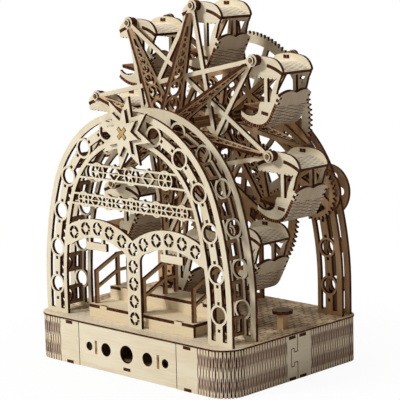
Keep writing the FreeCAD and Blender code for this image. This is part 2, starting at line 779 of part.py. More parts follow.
# Gear layout: the wheel gear turns a pinion below it, the large gear on the same shaft the crank.
module = dim("gear_module")
wheel_teeth = round(dim("wheel_teeth"))
pinion_teeth = round(dim("pinion_teeth"))
lay_teeth = round(dim("lay_teeth"))
crank_teeth = round(dim("crank_teeth"))
lay_height = axle_height - module * (wheel_teeth + pinion_teeth) / 2
crank_dx, crank_dz = polar(module * (lay_teeth + crank_teeth) / 2, dim("crank_angle"))
crank_x, crank_z = crank_dx, lay_height + crank_dz
shaft_hole = dim("shaft_radius") + running
boss = dim("boss_radius")


def post_face():
    """Post on the deck with an eye for the intermediate shaft and three windows."""
    post = dim("post_half_width")
    border = 4
    pitch = (lay_height - post - deck_top) / 3
    cuts = [disc(0, lay_height, shaft_hole)]
    for index in range(3):
        low = deck_top + border + index * pitch
        cuts.append(rectangle(border - post, low, post - border, low + pitch - border))
    return without(join([rectangle(-post, deck_top, post, lay_height), disc(0, lay_height, post)]), cuts)


# The rear arches have an eye for the crank shaft, and a post stands in the plane of each.
eye_face = join([plain_arch, disc(crank_x, crank_z, boss)])
rear_face = without(eye_face, [axle_hole(), disc(crank_x, crank_z, shaft_hole)])
posts = []
for label in ("third", "rear"):
    arch_place = V(0, dim(f"{label}_arch_y"), 0)
    node(f"{label}_arch", extrusion(f"{label}_arch", rear_face, arch_place))
    posts.append(extrusion(f"{label}_post", post_face(), arch_place))
node("gear_posts", *posts)


# ---------------------------------------------------------------- spacers between the arches
def spacer_turn(normal, side):
    """Local x runs along the band, local y along Y, the plate's normal across the band."""
    tangent_angle = normal + 90
    tx, tz = polar(1, tangent_angle)
    along = V(side * tx, 0, tz)
    return FreeCAD.Rotation(along, ALONG_Y, along.cross(ALONG_Y), "XYZ")


def spacer_face(gap, tabs):
    """Panel between two arches: tabs at both ends, pierced by a C-scroll and a slot."""
    half_length = tab_reach + tab_width / 2
    half_gap = gap / 2
    parts = [rectangle(-half_length, -half_gap, half_length, half_gap)]
    for place in tabs:
        tab = tab_width / 2
        parts.append(rectangle(place - tab, -half_gap - ply, place + tab, half_gap + ply))
    panel = join(parts)
    scroll_radius = half_length - 2.0
    if half_gap < 2 * scroll_radius - 4:
        return panel
    centre = -half_gap + scroll_radius + 2
    window = disc(0, centre, scroll_radius)
    scroll = sector(0, centre, scroll_radius * 0.62, scroll_radius * 0.32, 40, 320)
    stem = rectangle(-scroll_radius, centre - 0.9, -scroll_radius * 0.4, centre + 0.9)
    slot = rectangle(-half_length + 3, centre + scroll_radius + 2, half_length - 3, half_gap - 2.4)
    return join([without(panel, [window, slot]), scroll, stem])


def spacers(name, y0, y1, places):
    """Pairs of panels between two arches at the given bars."""
    gap = abs(y1 - y0) - ply
    pieces = []
    for place, tabs in places:
        x, z, normal = on_band(place)
        face = spacer_face(gap, tabs)
        for side in SIDES:
            centre = V(side * x, (y0 + y1) / 2, z)
            pieces.append(extrusion(f"{name}_{len(pieces)}", face, centre, spacer_turn(normal, side)))
    return node(name, *pieces)


two_tabs = (-tab_reach, tab_reach)
front_places = [(place, two_tabs) for place in bar_places[:-1]] + [(last_bar_middle, (0,))]
spacers("front_spacers", dim("front_arch_y"), dim("second_arch_y"), front_places)
rear_places = [(place, two_tabs) for place in bar_places[3:-1]] + [(last_bar_middle, (0,))]
spacers("rear_spacers", dim("third_arch_y"), dim("rear_arch_y"), rear_places)

# ---------------------------------------------------------------- fretwork and boards in the front arch
rail_width = dim("rail_width")
rail_heights = [dim(f"fret_rail_{number}") for number in (1, 2, 3, 4)]


def lozenge(x, z, half_x, half_z, width):
    outer = polygon([(x - half_x, z), (x, z + half_z), (x + half_x, z), (x, z - half_z)])
    shrink = 1 - width * math.hypot(half_x, half_z) / (half_x * half_z)
    in_x, in_z = half_x * shrink, half_z * shrink
    return without(outer, [polygon([(x - in_x, z), (x, z + in_z), (x + in_x, z), (x, z - in_z)])])


def rosette(x, z, radius, width):
    """Small wheel: a ring with a hub and six spokes."""
    parts = [ring(x, z, radius, radius - width), disc(x, z, width * 1.5)]
    for turn in range(3):
        dx, dz = polar(radius - width / 2, turn * 60)
        parts.append(bar((x - dx, z - dz), (x + dx, z + dz), width * 0.8))
    return join(parts)


def fretwork_face():
    """Four thin rails that carry two rows of rosettes and lozenges."""
    field = under_band(-band_in, deck_top)
    parts = []
    for height in rail_heights:
        rail = rectangle(-half_span, height - rail_width / 2, half_span, height + rail_width / 2)
        parts.append(overlap(rail, field))
    line_width = rail_width * 0.8
    rows = ((rail_heights[2], rail_heights[3], 2, 4.0), (rail_heights[0], rail_heights[1], 4, 1.0))
    for low, high, count, space in rows:
        middle = (low + high) / 2
        tall = (high - low) / 2 + 2.6
        pitch = 2 * tall + space
        for index in range(-count, count + 1):
            if index % 2:
                parts.append(lozenge(index * pitch, middle, tall * 0.95, tall, line_width))
            else:
                parts.append(rosette(index * pitch, middle, tall, line_width))
        parts.append(rectangle(-count * pitch, middle - 0.5, count * pitch, middle + 0.5))
    return join(parts)


node("front_fretwork", extrusion("front_fretwork", fretwork_face(), V(0, dim("front_arch_y"), 0)))


def sign_face(side):
    """Blank board on two short hangers below a portal crown."""
    low_radius = portal_radius - portal_band
    top = portal_top - portal_band
    middle = portal_x + 1.0
    half = dim("sign_width") / 2
    board_top = top - dim("sign_drop")
    parts = [rectangle(middle - half, board_top - dim("sign_height"), middle + half, board_top)]
    hangers = []
    for shift in SIDES:
        x = middle + shift * half * 0.62
        hangers.append(rectangle(x - 1.3, board_top - 1, x + 1.3, top + 2))
    hanging = overlap(join(hangers), disc(portal_x, top - low_radius, low_radius))
    shape = join(parts + [hanging])
    return shape if side > 0 else shape.mirror(V(0, 0, 0), V(1, 0, 0))


signs = []
for side, label in ((-1, "left"), (1, "right")):
    signs.append(extrusion(f"{label}_board", sign_face(side), V(0, dim("front_arch_y"), 0)))
node("sign_boards", *signs)

# ---------------------------------------------------------------- boarding steps and railings
step_half = dim("step_half_width")
step_front = dim("step_front")
step_middle = dim("step_middle")
step_back = dim("step_back")
rise = dim("step_rise")
finger = 4.5
finger_x = step_half * 0.72


def step_top(name, y0, y1, top, notch_front):
    """Tread with notches for the riser's fingers."""
    notches = []
    for side in SIDES:
        notches.append(rectangle(side * finger_x - finger, y0, side * finger_x + finger, y0 + ply))
    face = rectangle(-step_half, y0, step_half, y1)
    if notch_front:
        face = without(face, notches)
    return extrusion(name, face, V(0, 0, top - ply / 2), FLAT)


def riser(name, y, bottom, top, fingers):
    """Upright board below a tread, with fingers through the tread."""
    parts = [rectangle(-step_half, bottom, step_half, top - ply)]
    if fingers:
        for side in SIDES:
            parts.append(rectangle(side * finger_x - finger, top - ply - 1, side * finger_x + finger, top))
    return extrusion(name, join(parts), V(0, y + ply / 2, 0))


def cheek(name, x, y0, y1, top):
    return extrusion(name, rectangle(y0, deck_top, y1, top - ply), V(x, 0, 0), FACING_SIDE)


lower_top = deck_top + rise
upper_top = lower_top + rise
cheek_x = step_half - 2 * ply
lower = [
    step_top("lower_tread", step_front, step_middle, lower_top, True),
    riser("lower_riser", step_front, deck_top, lower_top, True),
]
upper = [
    step_top("upper_tread", step_middle, step_back, upper_top, True),
    riser("upper_riser", step_middle, deck_top, upper_top, True),
    riser("back_riser", step_back - ply, deck_top, upper_top, False),
]
for side, label in ((-1, "left"), (1, "right")):
    lower.append(cheek(f"lower_{label}_cheek", side * cheek_x, step_front + ply, step_middle, lower_top))
    cheek_name = f"upper_{label}_cheek"
    upper.append(cheek(cheek_name, side * cheek_x, step_middle + ply, step_back - ply, upper_top))
node("lower_step", *lower)
node("upper_step", *upper)

railing_bar = dim("railing_bar")
railing_height = dim("railing_height")


def railing_face():
    """Side view (Y, Z): three posts, a sloping handrail with a level end, and a middle rail."""
    front_post = step_front + 2 * ply
    middle_post = step_middle + 2 * ply
    back_post = step_back - 2 * ply
    ends = ((front_post, lower_top), (middle_post, upper_top), (back_post, upper_top))
    parts = []
    for y, bottom in ends:
        parts.append(rectangle(y - railing_bar / 2, bottom, y + railing_bar / 2, bottom + railing_height))
    for share, width in ((1.0, 3.0), (0.5, 2.4)):
        for (y0, z0), (y1, z1) in zip(ends, ends[1:]):
            lift = railing_height * share - width / 2
            parts.append(bar((y0, z0 + lift), (y1, z1 + lift), width))
    knuckle_z = upper_top + railing_height - 1.5
    parts.append(disc(middle_post, knuckle_z, 1.5))
    return join(parts)


rail_plates = []
for index, x in enumerate((-dim("railing_x"), 0, dim("railing_x"))):
    rail_plates.append(extrusion(f"railing_{index}", railing_face(), V(x, 0, 0), FACING_SIDE))
node("railings", *rail_plates)

table_foot = V(dim("table_x"), dim("table_y"), deck_top)
leg_face = rectangle(-ply * 1.2, -ply * 1.2, ply * 1.2, ply * 1.2)
leg_middle = table_foot + V(0, 0, dim("table_height") / 2)
table_leg = extrusion("table_leg", leg_face, leg_middle, FLAT, "table_height")
node("table_leg", table_leg)
top_geometry = [circle(0, 0, dim("table_radius"))]
top_body = padded_body("table_top", "XY_Plane", top_geometry, bound("ply"))
notch = pocket(top_body, "XY_Plane", "table_top_notch", [circle(dim("table_radius") + 0.6, 0, 2.0)])
scallops = top_body.newObject("PartDesign::PolarPattern", "table_top_scallops")
scallops.Originals = [notch]
scallops.Axis = (notch.Profile[0], ["N_Axis"])
scallops.Angle = 360
scallops.Occurrences = 8
top_body.Tip = scallops
top_body.Placement.Base = table_foot + V(0, 0, dim("table_height"))
node("table_top", top_body)

# ---------------------------------------------------------------- wheel
wheel_y = dim("wheel_centre_y")
frame_offset = dim("frame_spacing") / 2
pivot_radius = dim("pivot_radius")
pivot_angles = [dim("pivot_phase") + 45 * index for index in EIGHT]
hub_radius = dim("hub_radius")
strut = dim("strut_width")
pin_radius = dim("pin_radius")


def wheel_frame_face():
    """Eight-pointed star frame: each tip is joined to the third tip on either side."""
    tips = [polar(pivot_radius, angle) for angle in pivot_angles]
    parts = [disc(0, 0, hub_radius)]
    for index in EIGHT:
        parts.append(bar(tips[index], tips[(index + 3) % 8], strut))
        parts.append(bar((0, 0), tips[index], strut))
        parts.append(disc(*tips[index], dim("tip_radius")))
    cuts = [cross(running)]
    for tip in tips:
        cuts.append(disc(*tip, pin_radius + running))
    return without(join(parts), cuts)


frame_face = wheel_frame_face()
for side, label in ((-1, "front"), (1, "rear")):
    place = V(0, wheel_y + side * frame_offset, axle_height)
    node(f"{label}_frame", extrusion(f"{label}_frame", frame_face, place))


def arm_face(side):
    """Fretted arm in a plane through the axis: x is the radius, y runs away from the frame."""
    start = dim("axle_width") / 2 + 1.2
    end = dim("arm_reach")
    deep, shallow = dim("arm_depth"), dim("arm_tip_depth")
    knee = hub_radius + 2

    def depth(radius):
        return deep - (deep - shallow) * max(0.0, radius - knee) / (end - knee)
    whole = polygon([(start, 0), (end, 0), (end, shallow), (knee, deep), (start, deep)])
    border = dim("arm_border")
    strip = dim("scroll_width")
    window = [(start + border, border), (end - 5 * border, border)]
    window.append((end - 5 * border, depth(end - 5 * border) - border))
    window += [(knee, deep - border), (start + border, deep - border)]
    scrolls = []
    place = start + border
    while True:
        radius = (depth(place) - 2 * border) / 2 + strip / 3
        radius = (depth(place + radius) - 2 * border) / 2 + strip / 3
        if radius < 1.8 * strip or place + 2 * radius > end - 5 * border:
            break
        centre = place + radius - strip / 3
        level = depth(centre) / 2
        scrolls.append(ring(centre, level, radius, radius - strip))
        curl = radius * 0.5
        if curl > strip * 1.3:
            inset = radius - curl - strip / 3
            scrolls.append(sector(centre + inset, level, curl, curl - strip, -150, 150))
        place += 2 * radius - strip
    shape = join([without(whole, [polygon(window)])] + [overlap(scroll, whole) for scroll in scrolls])
    return shape if side > 0 else shape.mirror(V(0, 0, 0), V(0, 1, 0))


for side, label in ((-1, "front"), (1, "rear")):
    arms = []
    face = arm_face(side)
    frame_face_y = wheel_y + side * (frame_offset + ply / 2)
    for index, angle in enumerate(pivot_angles):
        dx, dz = polar(1, angle)
        outward = V(dx, 0, dz)
        turn = FreeCAD.Rotation(outward, ALONG_Y, outward.cross(ALONG_Y), "XYZ")
        arms.append(extrusion(f"{label}_arm_{index}", face, V(0, frame_face_y, axle_height), turn))
    node(f"{label}_arms", *arms)

hub_face = without(disc(0, 0, hub_radius), [cross(running)])
hub_discs = []
for side in SIDES:
    inner_y = wheel_y + side * (frame_offset - ply)
    outer_y = wheel_y + side * (frame_offset + ply + dim("arm_depth"))
    for label, y in (("inner", inner_y), ("outer", outer_y)):
        hub_discs.append(extrusion(f"{label}_hub_{side + 1}", hub_face, V(0, y, axle_height)))
node("hub_discs", *hub_discs)

star_y = dim("front_arch_y") - ply / 2 - dim("star_gap") - ply / 2
axle_front = star_y - ply / 2
axle_rear = dim("rear_arch_y") + ply / 2 + 3 * ply
axle_middle = V(0, (axle_front + axle_rear) / 2, axle_height)
axle = extrusion("wheel_axle", cross(0.0), axle_middle, FACING_FRONT, f"{axle_rear - axle_front}")
node("wheel_axle", axle)


def star_face():
    """Eight-pointed star with a chevron slit behind each inner corner."""
    points = []
    for index, angle in enumerate(pivot_angles):
        points.append(polar(dim("star_radius"), angle))
        points.append(polar(dim("star_inner"), angle + 22.5))
    cuts = [cross(running)]
    for angle in pivot_angles:
        corner = polar(dim("star_inner") * 0.62, angle + 22.5)
        for turn in SIDES:
            end = polar(dim("star_inner") * 0.98, angle + 22.5 + turn * 16)
            cuts.append(bar(corner, end, 1.0))
        ray_start = polar(dim("star_inner") * 0.95, angle)
        cuts.append(bar(ray_start, polar(dim("star_radius") * 0.66, angle), 1.0))
    return without(polygon(points), cuts)


node("star", extrusion("star", star_face(), V(0, star_y, axle_height)))

cap_face = without(disc(0, 0, hub_radius * 0.6), [cross(running)])
cap_front_y = dim("second_arch_y") - ply / 2 - ply
rear_cap_y = dim("rear_arch_y") + 2 * ply
caps = [extrusion("rear_cap", cap_face, V(0, rear_cap_y, axle_height))]
caps.append(extrusion("second_cap", cap_face, V(0, cap_front_y, axle_height)))
node("axle_caps", *caps)

pins = []
clips = []
clip = dim("clip_thickness")
pin_outer = frame_offset + ply / 2 + clip + 1.0
gondola_half = dim("gondola_length") / 2
pin_inner = gondola_half - ply + 0.3
spacer_length = frame_offset - ply / 2 - gondola_half - dim("side_clearance")
half_spacing = f"({bound('frame_spacing')} - {bound('gondola_length')} + {bound('ply')}) / 2"
pin_length = f"{half_spacing} + {bound('clip_thickness')} + {bound('ply')} + {1.0 - 0.3}"
free_gap = f"({bound('frame_spacing')} - {bound('ply')} - {bound('gondola_length')}) / 2"
spacer_expression = f"{free_gap} - {bound('side_clearance')}"
clip_inner = without(disc(0, 0, dim("clip_radius")), [disc(0, 0, pin_radius)])
collar_inner = without(disc(0, 0, dim("clip_radius") * 0.8), [disc(0, 0, pin_radius)])
for index, angle in enumerate(pivot_angles):
    dx, dz = polar(pivot_radius, angle)
    centre = V(dx, wheel_y, axle_height + dz)
    for side in SIDES:
        pin_start = centre + ALONG_Y * (pin_inner if side > 0 else -pin_outer)
        pins.append(cylinder(f"pin_{index}_{side + 1}", bound("pin_radius"), pin_length, pin_start))
        clip_place = centre + ALONG_Y * side * (frame_offset + ply / 2 + clip / 2)
        name = f"clip_{index}_{side + 1}"
        clips.append(extrusion(name, clip_inner, clip_place, FACING_FRONT, "clip_thickness"))
        collar_place = centre + ALONG_Y * side * (frame_offset - ply / 2 - spacer_length / 2)
        name = f"collar_{index}_{side + 1}"
        clips.append(extrusion(name, collar_inner, collar_place, FACING_FRONT, spacer_expression))
node("gondola_pins", *pins)
node("pin_clips", *clips)

# ---------------------------------------------------------------- gears
PRESSURE = math.radians(20)


def involute(angle):
    return math.tan(angle) - angle


def gear_blank(teeth, first_tooth):
    """Spur gear outline with involute flanks; the first tooth points along an angle."""
    pitch = module * teeth / 2
    base = pitch * math.cos(PRESSURE)
    tip = pitch + 0.8 * module
    root = pitch - 1.05 * module
    half_tooth = math.pi / (2 * teeth) - dim("backlash") / (4 * pitch)
    flank = []
    low = max(base, root)
    for step in range(4):
        radius = low + (tip - low) * step / 3
        lift = involute(math.acos(min(1.0, base / radius)))
        flank.append((radius, half_tooth + involute(PRESSURE) - lift))
    if root < base:
        flank.insert(0, (root, flank[0][1]))
    points = []
    for tooth in range(teeth):
        centre = math.radians(first_tooth) + 2 * math.pi * tooth / teeth
        for radius, half in flank:
            points.append((radius * math.cos(centre - half), radius * math.sin(centre - half)))
        for radius, half in reversed(flank):
            points.append((radius * math.cos(centre + half), radius * math.sin(centre + half)))
    return polygon(points)


def spoked_gear(teeth, first_tooth, spokes, hub, hole):
    """Gear with a rim, an inner ring and spokes."""
    blank = gear_blank(teeth, first_tooth)
    rim_inside = module * teeth / 2 - 1.05 * module - dim("rim_width")
    ring_outside = rim_inside * 0.58
    ring_inside = ring_outside - 4
    webs = [ring(0, 0, ring_outside, ring_inside), disc(0, 0, hub)]
    for index in range(spokes):
        webs.append(bar((0, 0), polar(rim_inside + 1, index * 360 / spokes + 22.5), 5))
    return without(join([without(blank, [disc(0, 0, rim_inside)])] + webs), [hole])


gear_y = (dim("third_arch_y") + dim("rear_arch_y")) / 2
lay_gear_y = dim("third_arch_y") - ply - dim("lay_gear_gap")
wheel_gear_face = spoked_gear(wheel_teeth, 270, 8, hub_radius, cross(running))
node("wheel_gear", extrusion("wheel_gear", wheel_gear_face, V(0, gear_y, axle_height)))

round_hole = disc(0, 0, dim("shaft_radius"))
pinion_phase = 90 + 180 / pinion_teeth
pinion_face = without(gear_blank(pinion_teeth, pinion_phase), [round_hole])
node("lay_pinion", extrusion("lay_pinion", pinion_face, V(0, gear_y, lay_height)))
lay_face = spoked_gear(lay_teeth, dim("crank_angle"), 6, hub_radius * 0.8, round_hole)
node("lay_gear", extrusion("lay_gear", lay_face, V(0, lay_gear_y, lay_height)))
shaft_front = lay_gear_y - ply
lay_end = dim("rear_arch_y") + ply / 2 + ply / 2
lay_place = V(0, shaft_front, lay_height)
lay_shaft = cylinder("lay_shaft", bound("shaft_radius"), str(lay_end - shaft_front), lay_place)
node("lay_shaft", lay_shaft)

crank_phase = dim("crank_angle") + 180 + 180 / crank_teeth
crank_windows = [round_hole]
window_reach = crank_teeth * module / 2 - 4.5
for index in range(6):
    centre = 60 * index
    window = [polar(boss, centre), polar(window_reach, centre + 20), polar(window_reach, centre - 20)]
    crank_windows.append(polygon(window))
crank_gear_face = without(gear_blank(crank_teeth, crank_phase), crank_windows)
node("crank_gear", extrusion("crank_gear", crank_gear_face, V(crank_x, lay_gear_y, crank_z)))


disc_radius = dim("crank_disc_radius")
disc_cuts = [round_hole]
for index in EIGHT:
    disc_cuts.append(disc(*polar(disc_radius * 0.68, index * 45), disc_radius / 6))
disc_face = without(disc(0, 0, disc_radius), disc_cuts)
node("crank_disc", extrusion("crank_disc", disc_face, V(crank_x, gear_y, crank_z)))

hand_radius = dim("crank_wheel_radius")
hand_body = padded_body("crank_wheel", "XZ_Plane", [circle(0, 0, hand_radius)], bound("ply"))
pocket(hand_body, "XZ_Plane", "crank_wheel_bore", [circle(0, 0, dim("shaft_radius"))])
hand_hole = pocket(hand_body, "XZ_Plane", "crank_wheel_hole", [circle(hand_radius * 0.62, 0, 4.0)])
hand_holes = hand_body.newObject("PartDesign::PolarPattern", "crank_wheel_holes")
hand_holes.Originals = [hand_hole]
hand_holes.Axis = (hand_hole.Profile[0], ["N_Axis"])
hand_holes.Angle = 360
hand_holes.Occurrences = 6
hand_body.Tip = hand_holes
hand_y = dim("rear_arch_y") + ply / 2 + dim("crank_gap")
hand_body.Placement.Base = V(crank_x, hand_y + ply, crank_z)
node("crank_wheel", hand_body)
crank_end = hand_y + ply + 2
crank_shaft = cylinder(
    "crank_shaft", bound("shaft_radius"), str(crank_end - shaft_front), V(crank_x, shaft_front, crank_z))
node("crank_shaft", crank_shaft)
knob_x, knob_z = polar(dim("knob_offset"), -90)
knob_place = V(crank_x + knob_x, hand_y + ply, crank_z + knob_z)
knob = cylinder("crank_knob", bound("knob_radius"), bound("knob_length"), knob_place)
node("crank_knob", knob)

# ---------------------------------------------------------------- gondolas
canopy_front = -dim("canopy_front")
canopy_back = dim("canopy_back")
canopy_top = dim("canopy_top")
canopy_bottom = -dim("canopy_bottom")
scallop = dim("scallop_radius")
roof_outside = dim("roof_radius")
roof_inside = roof_outside - ply
roof_x = dim("roof_middle")
roof_z = -dim("roof_top") - roof_outside
inner_half = gondola_half - ply
post = dim("post_width")
canopy_slope = dim("canopy_slope")
keel_bottom = -dim("seat_depth")
front_radius = dim("keel_front_radius")
back_radius = dim("keel_back_radius")
front_turn = dim("keel_front_angle")
lean_angle = dim("back_lean")
saddle_z = -dim("back_top")
seat_z = -dim("seat_height")
sheet_fit = 0.05


roof_tab_angle = math.degrees(math.asin(dim("roof_tab_gap") / roof_outside))
roof_back_angle = math.degrees(math.acos((canopy_back - roof_x) / roof_outside))
roof_front_angle = math.degrees(math.acos((canopy_front - roof_x) / roof_outside))


def roof_height(x):
    """Height of the roof sheet's upper face at a given place."""
    return roof_z + math.sqrt(roof_outside ** 2 - (x - roof_x) ** 2)


# The keel is the side plate's lower edge: a straight back that leans, a tight arc below it and a
# flatter arc up to the prow. The seat shell follows it on the outside.
lean_x, lean_z = polar(1, 90 - lean_angle)
back_centre_z = keel_bottom + back_radius
front_centre_z = keel_bottom + front_radius


def keel_point(place, offset=0.0):
    """Point beside the keel: place 0 is its lowest point, -1 the prow, 1 the end of the tight arc;
    further places are distances up the straight back. The offset is outwards."""
    if place <= 0:
        x, z = polar(front_radius + offset, -90 + place * front_turn)
        return x, front_centre_z + z
    turn = min(place, 1) * (90 - lean_angle)
    x, z = polar(back_radius + offset, -90 + turn)
    rise = max(0.0, place - 1)
    return x + rise * lean_x, back_centre_z + z + rise * lean_z


def back_place(z):
    """Place on the straight back whose inner face has a given height."""
    return 1 + (z - keel_point(1)[1]) / lean_z


horn_place = back_place(saddle_z - 1.0)
saddle_place = back_place(saddle_z)
ribs_place = back_place(saddle_z - 11)


def beside_keel(low_place, high_place, inner, outer):
    """Strip that follows the keel between two offsets."""
    return outline([
        keel_point(low_place, inner), (*keel_point(low_place / 2, inner), *keel_point(0, inner)),
        (*keel_point(0.5, inner), *keel_point(1, inner)), keel_point(high_place, inner),
        keel_point(high_place, outer), keel_point(1, outer),
        (*keel_point(0.5, outer), *keel_point(0, outer)),
        (*keel_point(low_place / 2, outer), *keel_point(low_place, outer)),
    ])


def tooth_places():
    """Ends of the two teeth that the side plate puts through the backrest."""
    highs = [horn_place - 1.6 - step * dim("back_tooth_pitch") for step in (0, 1)]
    return [(high - dim("back_tooth"), high) for high in highs]


def inside_keel():
    """Space above the keel line, between the side plates."""
    return outline([
        keel_point(-1), (*keel_point(-0.5), *keel_point(0)), (*keel_point(0.5), *keel_point(1)),
        keel_point(ribs_place), (keel_point(-1)[0], keel_point(ribs_place)[1]),
    ])


def scallop_places():
    """Centres of the scallops along the canopy's lower edge, which falls towards the back."""
    count = 10
    first = canopy_front + 1 + scallop
    pitch = (canopy_back - 2.6 - scallop - first) / (count - 1)
    fall = canopy_slope / (count - 1)
    level = canopy_bottom + canopy_slope + 0.3
    return [(first + index * pitch, level - index * fall) for index in range(count)]


def gondola_side_face():
    """Side plate: canopy with a scalloped edge, two posts and a boat-shaped seat side."""
    eave_front, eave_back = roof_height(canopy_front), roof_height(canopy_back)
    canopy = outline([
        (canopy_back - 2.6, canopy_bottom), (canopy_back - 1.6, eave_back - ply), (canopy_back, eave_back),
        (canopy_back - 2.6, canopy_top - 7.2, canopy_back - 9, canopy_top - 2.2),
        ((canopy_back + canopy_front) / 2, canopy_top, canopy_front + 9.5, canopy_top - 1.7),
        (canopy_front + 3, canopy_top - 6, canopy_front, eave_front),
        (canopy_front + 1, eave_front - ply), (canopy_front + 1, canopy_bottom + canopy_slope),
    ])
    prow = keel_point(-1)
    horn = keel_point(horn_place)
    boat = outline([
        prow, (*keel_point(-0.5), *keel_point(0)), (*keel_point(0.5), *keel_point(1)), horn,
        (horn[0] - 3, horn[1]), (13, -36), (2.8, -36), (0.5, -39.5), (-2.2, -46.8, -8, -48.8),
        (-15.2, -48, prow[0], prow[1] + 4.4),
    ])
    straight_post = bar((8.8, canopy_bottom + 2), (8.8, -37), post)
    curved_post = outline([
        (canopy_back - 3.8, canopy_bottom + 2), (16.6, -24.5, 13.4, -37), (17, -37),
        (20.5, -28.5), (canopy_back - 2.6, canopy_bottom + 2),
    ])
    parts = [canopy, boat, straight_post, curved_post]
    parts += [disc(x, z, scallop) for x, z in scallop_places()]
    for low, high in tooth_places():
        parts.append(polygon([
            keel_point(low, -1), keel_point(low, ply), keel_point(high, ply), keel_point(high, -1)]))
    cuts = [disc(0, 0, pin_radius + running), seat_section(dim("seat_tab"), sheet_fit)]
    for start, end in ((40, 90 - roof_tab_angle), (90 + roof_tab_angle, 140)):
        cuts.append(sector(roof_x, roof_z, roof_outside + sheet_fit, roof_inside - sheet_fit, start, end))
    return without(join(parts), cuts)


def seat_section(width, grow=0.0):
    """Section of the tilted seat board."""
    half = width / 2
    section = rectangle(-half - grow, -ply / 2 - grow, half + grow, ply / 2 + grow)
    tilt = FreeCAD.Rotation(ALONG_Z, -dim("seat_tilt"))
    section.Placement = FreeCAD.Placement(V(dim("seat_x"), seat_z, 0), tilt)
    return section


def roof_faces():
    """Section of the roof sheet between the plates, and of its tabs through them."""
    whole = sector(roof_x, roof_z, roof_outside, roof_inside, roof_back_angle, roof_front_angle)
    fit_angle = math.degrees(sheet_fit / roof_inside)
    back = (roof_back_angle, 90 - roof_tab_angle - fit_angle)
    front = (90 + roof_tab_angle + fit_angle, roof_front_angle)
    tabs = [sector(roof_x, roof_z, roof_outside, roof_inside, *span) for span in (back, front)]
    return whole, Part.makeCompound(tabs)


def backrest_face():
    """Upper part of the seat sheet in its own plane: x is Y across the gondola, y runs up the back
    from the place where the ribs end. Notches take the teeth of the side plates."""
    top = saddle_place - ribs_place
    rise = dim("back_hump")
    parts = []
    for side in SIDES:
        low, high = sorted((0, side * gondola_half))
        ends = {0: top, side * gondola_half: top - 1}
        parts.append(outline([
            (low, 0), (high, 0), (high, ends[high]), ((low + high) / 2, top + rise, low, ends[low])]))
    notches = []
    for low, high in tooth_places():
        y0, y1 = low - ribs_place - sheet_fit, high - ribs_place + sheet_fit
        for side in SIDES:
            x0, x1 = sorted((side * (inner_half - sheet_fit), side * (gondola_half + 1)))
            notches.append(rectangle(x0, y0, x1, y1))
    return without(join(parts), notches)


side_plate = gondola_side_face()
roof_sheet, roof_tabs = roof_faces()
shell_sheet = beside_keel(-1, ribs_place, sheet_fit, ply + sheet_fit)
backrest_sheet = backrest_face()
seat_inner = overlap(seat_section(60), inside_keel())
seat_outer = seat_section(dim("seat_tab"))
back_x, back_z = keel_point(ribs_place, ply / 2 + sheet_fit)
LEANING = FreeCAD.Rotation(ALONG_Y, V(lean_x, 0, lean_z), V(lean_z, 0, -lean_x), "XYZ")
inner_length = f"{bound('gondola_length')} - 2 * {bound('ply')}"


def fused(name, base, tool):
    """Two plates that are one piece of wood."""
    whole = doc.addObject("Part::Fuse", name)
    whole.Base = base
    whole.Tool = tool
    whole.Refine = True
    return whole


for index, angle in enumerate(pivot_angles):
    dx, dz = polar(pivot_radius, angle)
    pivot = V(dx, wheel_y, axle_height + dz)
    name = f"gondola_{index + 1}"
    plates = []
    for side in SIDES:
        place = pivot + ALONG_Y * side * (gondola_half - ply / 2)
        plates.append(extrusion(f"{name}_side_{side + 1}", side_plate, place))
    node(f"{name}_sides", *plates)
    roof_inner = extrusion(f"{name}_roof_inner", roof_sheet, pivot, FACING_FRONT, inner_length)
    roof_outer = extrusion(f"{name}_roof_outer", roof_tabs, pivot, FACING_FRONT, "gondola_length")
    shell = extrusion(f"{name}_shell_inner", shell_sheet, pivot, FACING_FRONT, "gondola_length")
    backrest = extrusion(f"{name}_backrest", backrest_sheet, pivot + V(back_x, 0, back_z), LEANING)
    board_inner = extrusion(f"{name}_board_inner", seat_inner, pivot, FACING_FRONT, inner_length)
    board_outer = extrusion(f"{name}_board_outer", seat_outer, pivot, FACING_FRONT, "gondola_length")
    node(
        f"{name}_seat", fused(f"{name}_roof", roof_inner, roof_outer),
        fused(f"{name}_shell", shell, backrest), fused(f"{name}_board", board_inner, board_outer))

# ---------------------------------------------------------------- checks and files
doc.recompute()
for item in doc.Objects:
    if "Invalid" in item.State or "Error" in item.State:
        raise RuntimeError(f"{item.Name} failed: {item.State}")
for part in nodes:
    if part.Shape.isNull() or not part.Shape.isValid() or not part.Shape.Solids:
        raise RuntimeError(f"{part.Label} has no valid solid")

os.makedirs("parts", exist_ok=True)
for part in nodes:
    part.Shape.exportStep(f"parts/{part.Label}.step")
print(len(nodes), "sub-parts,", sum(len(part.Shape.Solids) for part in nodes), "solids")
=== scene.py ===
# %% [markdown]
# # A laser-cut wooden ferris wheel toy
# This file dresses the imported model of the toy: every plate becomes plywood with pale faces and
# burnt edges, and the bent sheets get the slits that let real plywood bend. All sizes are in
# metres, in the model's own frame: +Z is up, the decorated front faces -Y, and the crank is at
# the back.

# %% The frame
import json
import math
import random
import bmesh
import bpy
from mathutils import Matrix, Vector


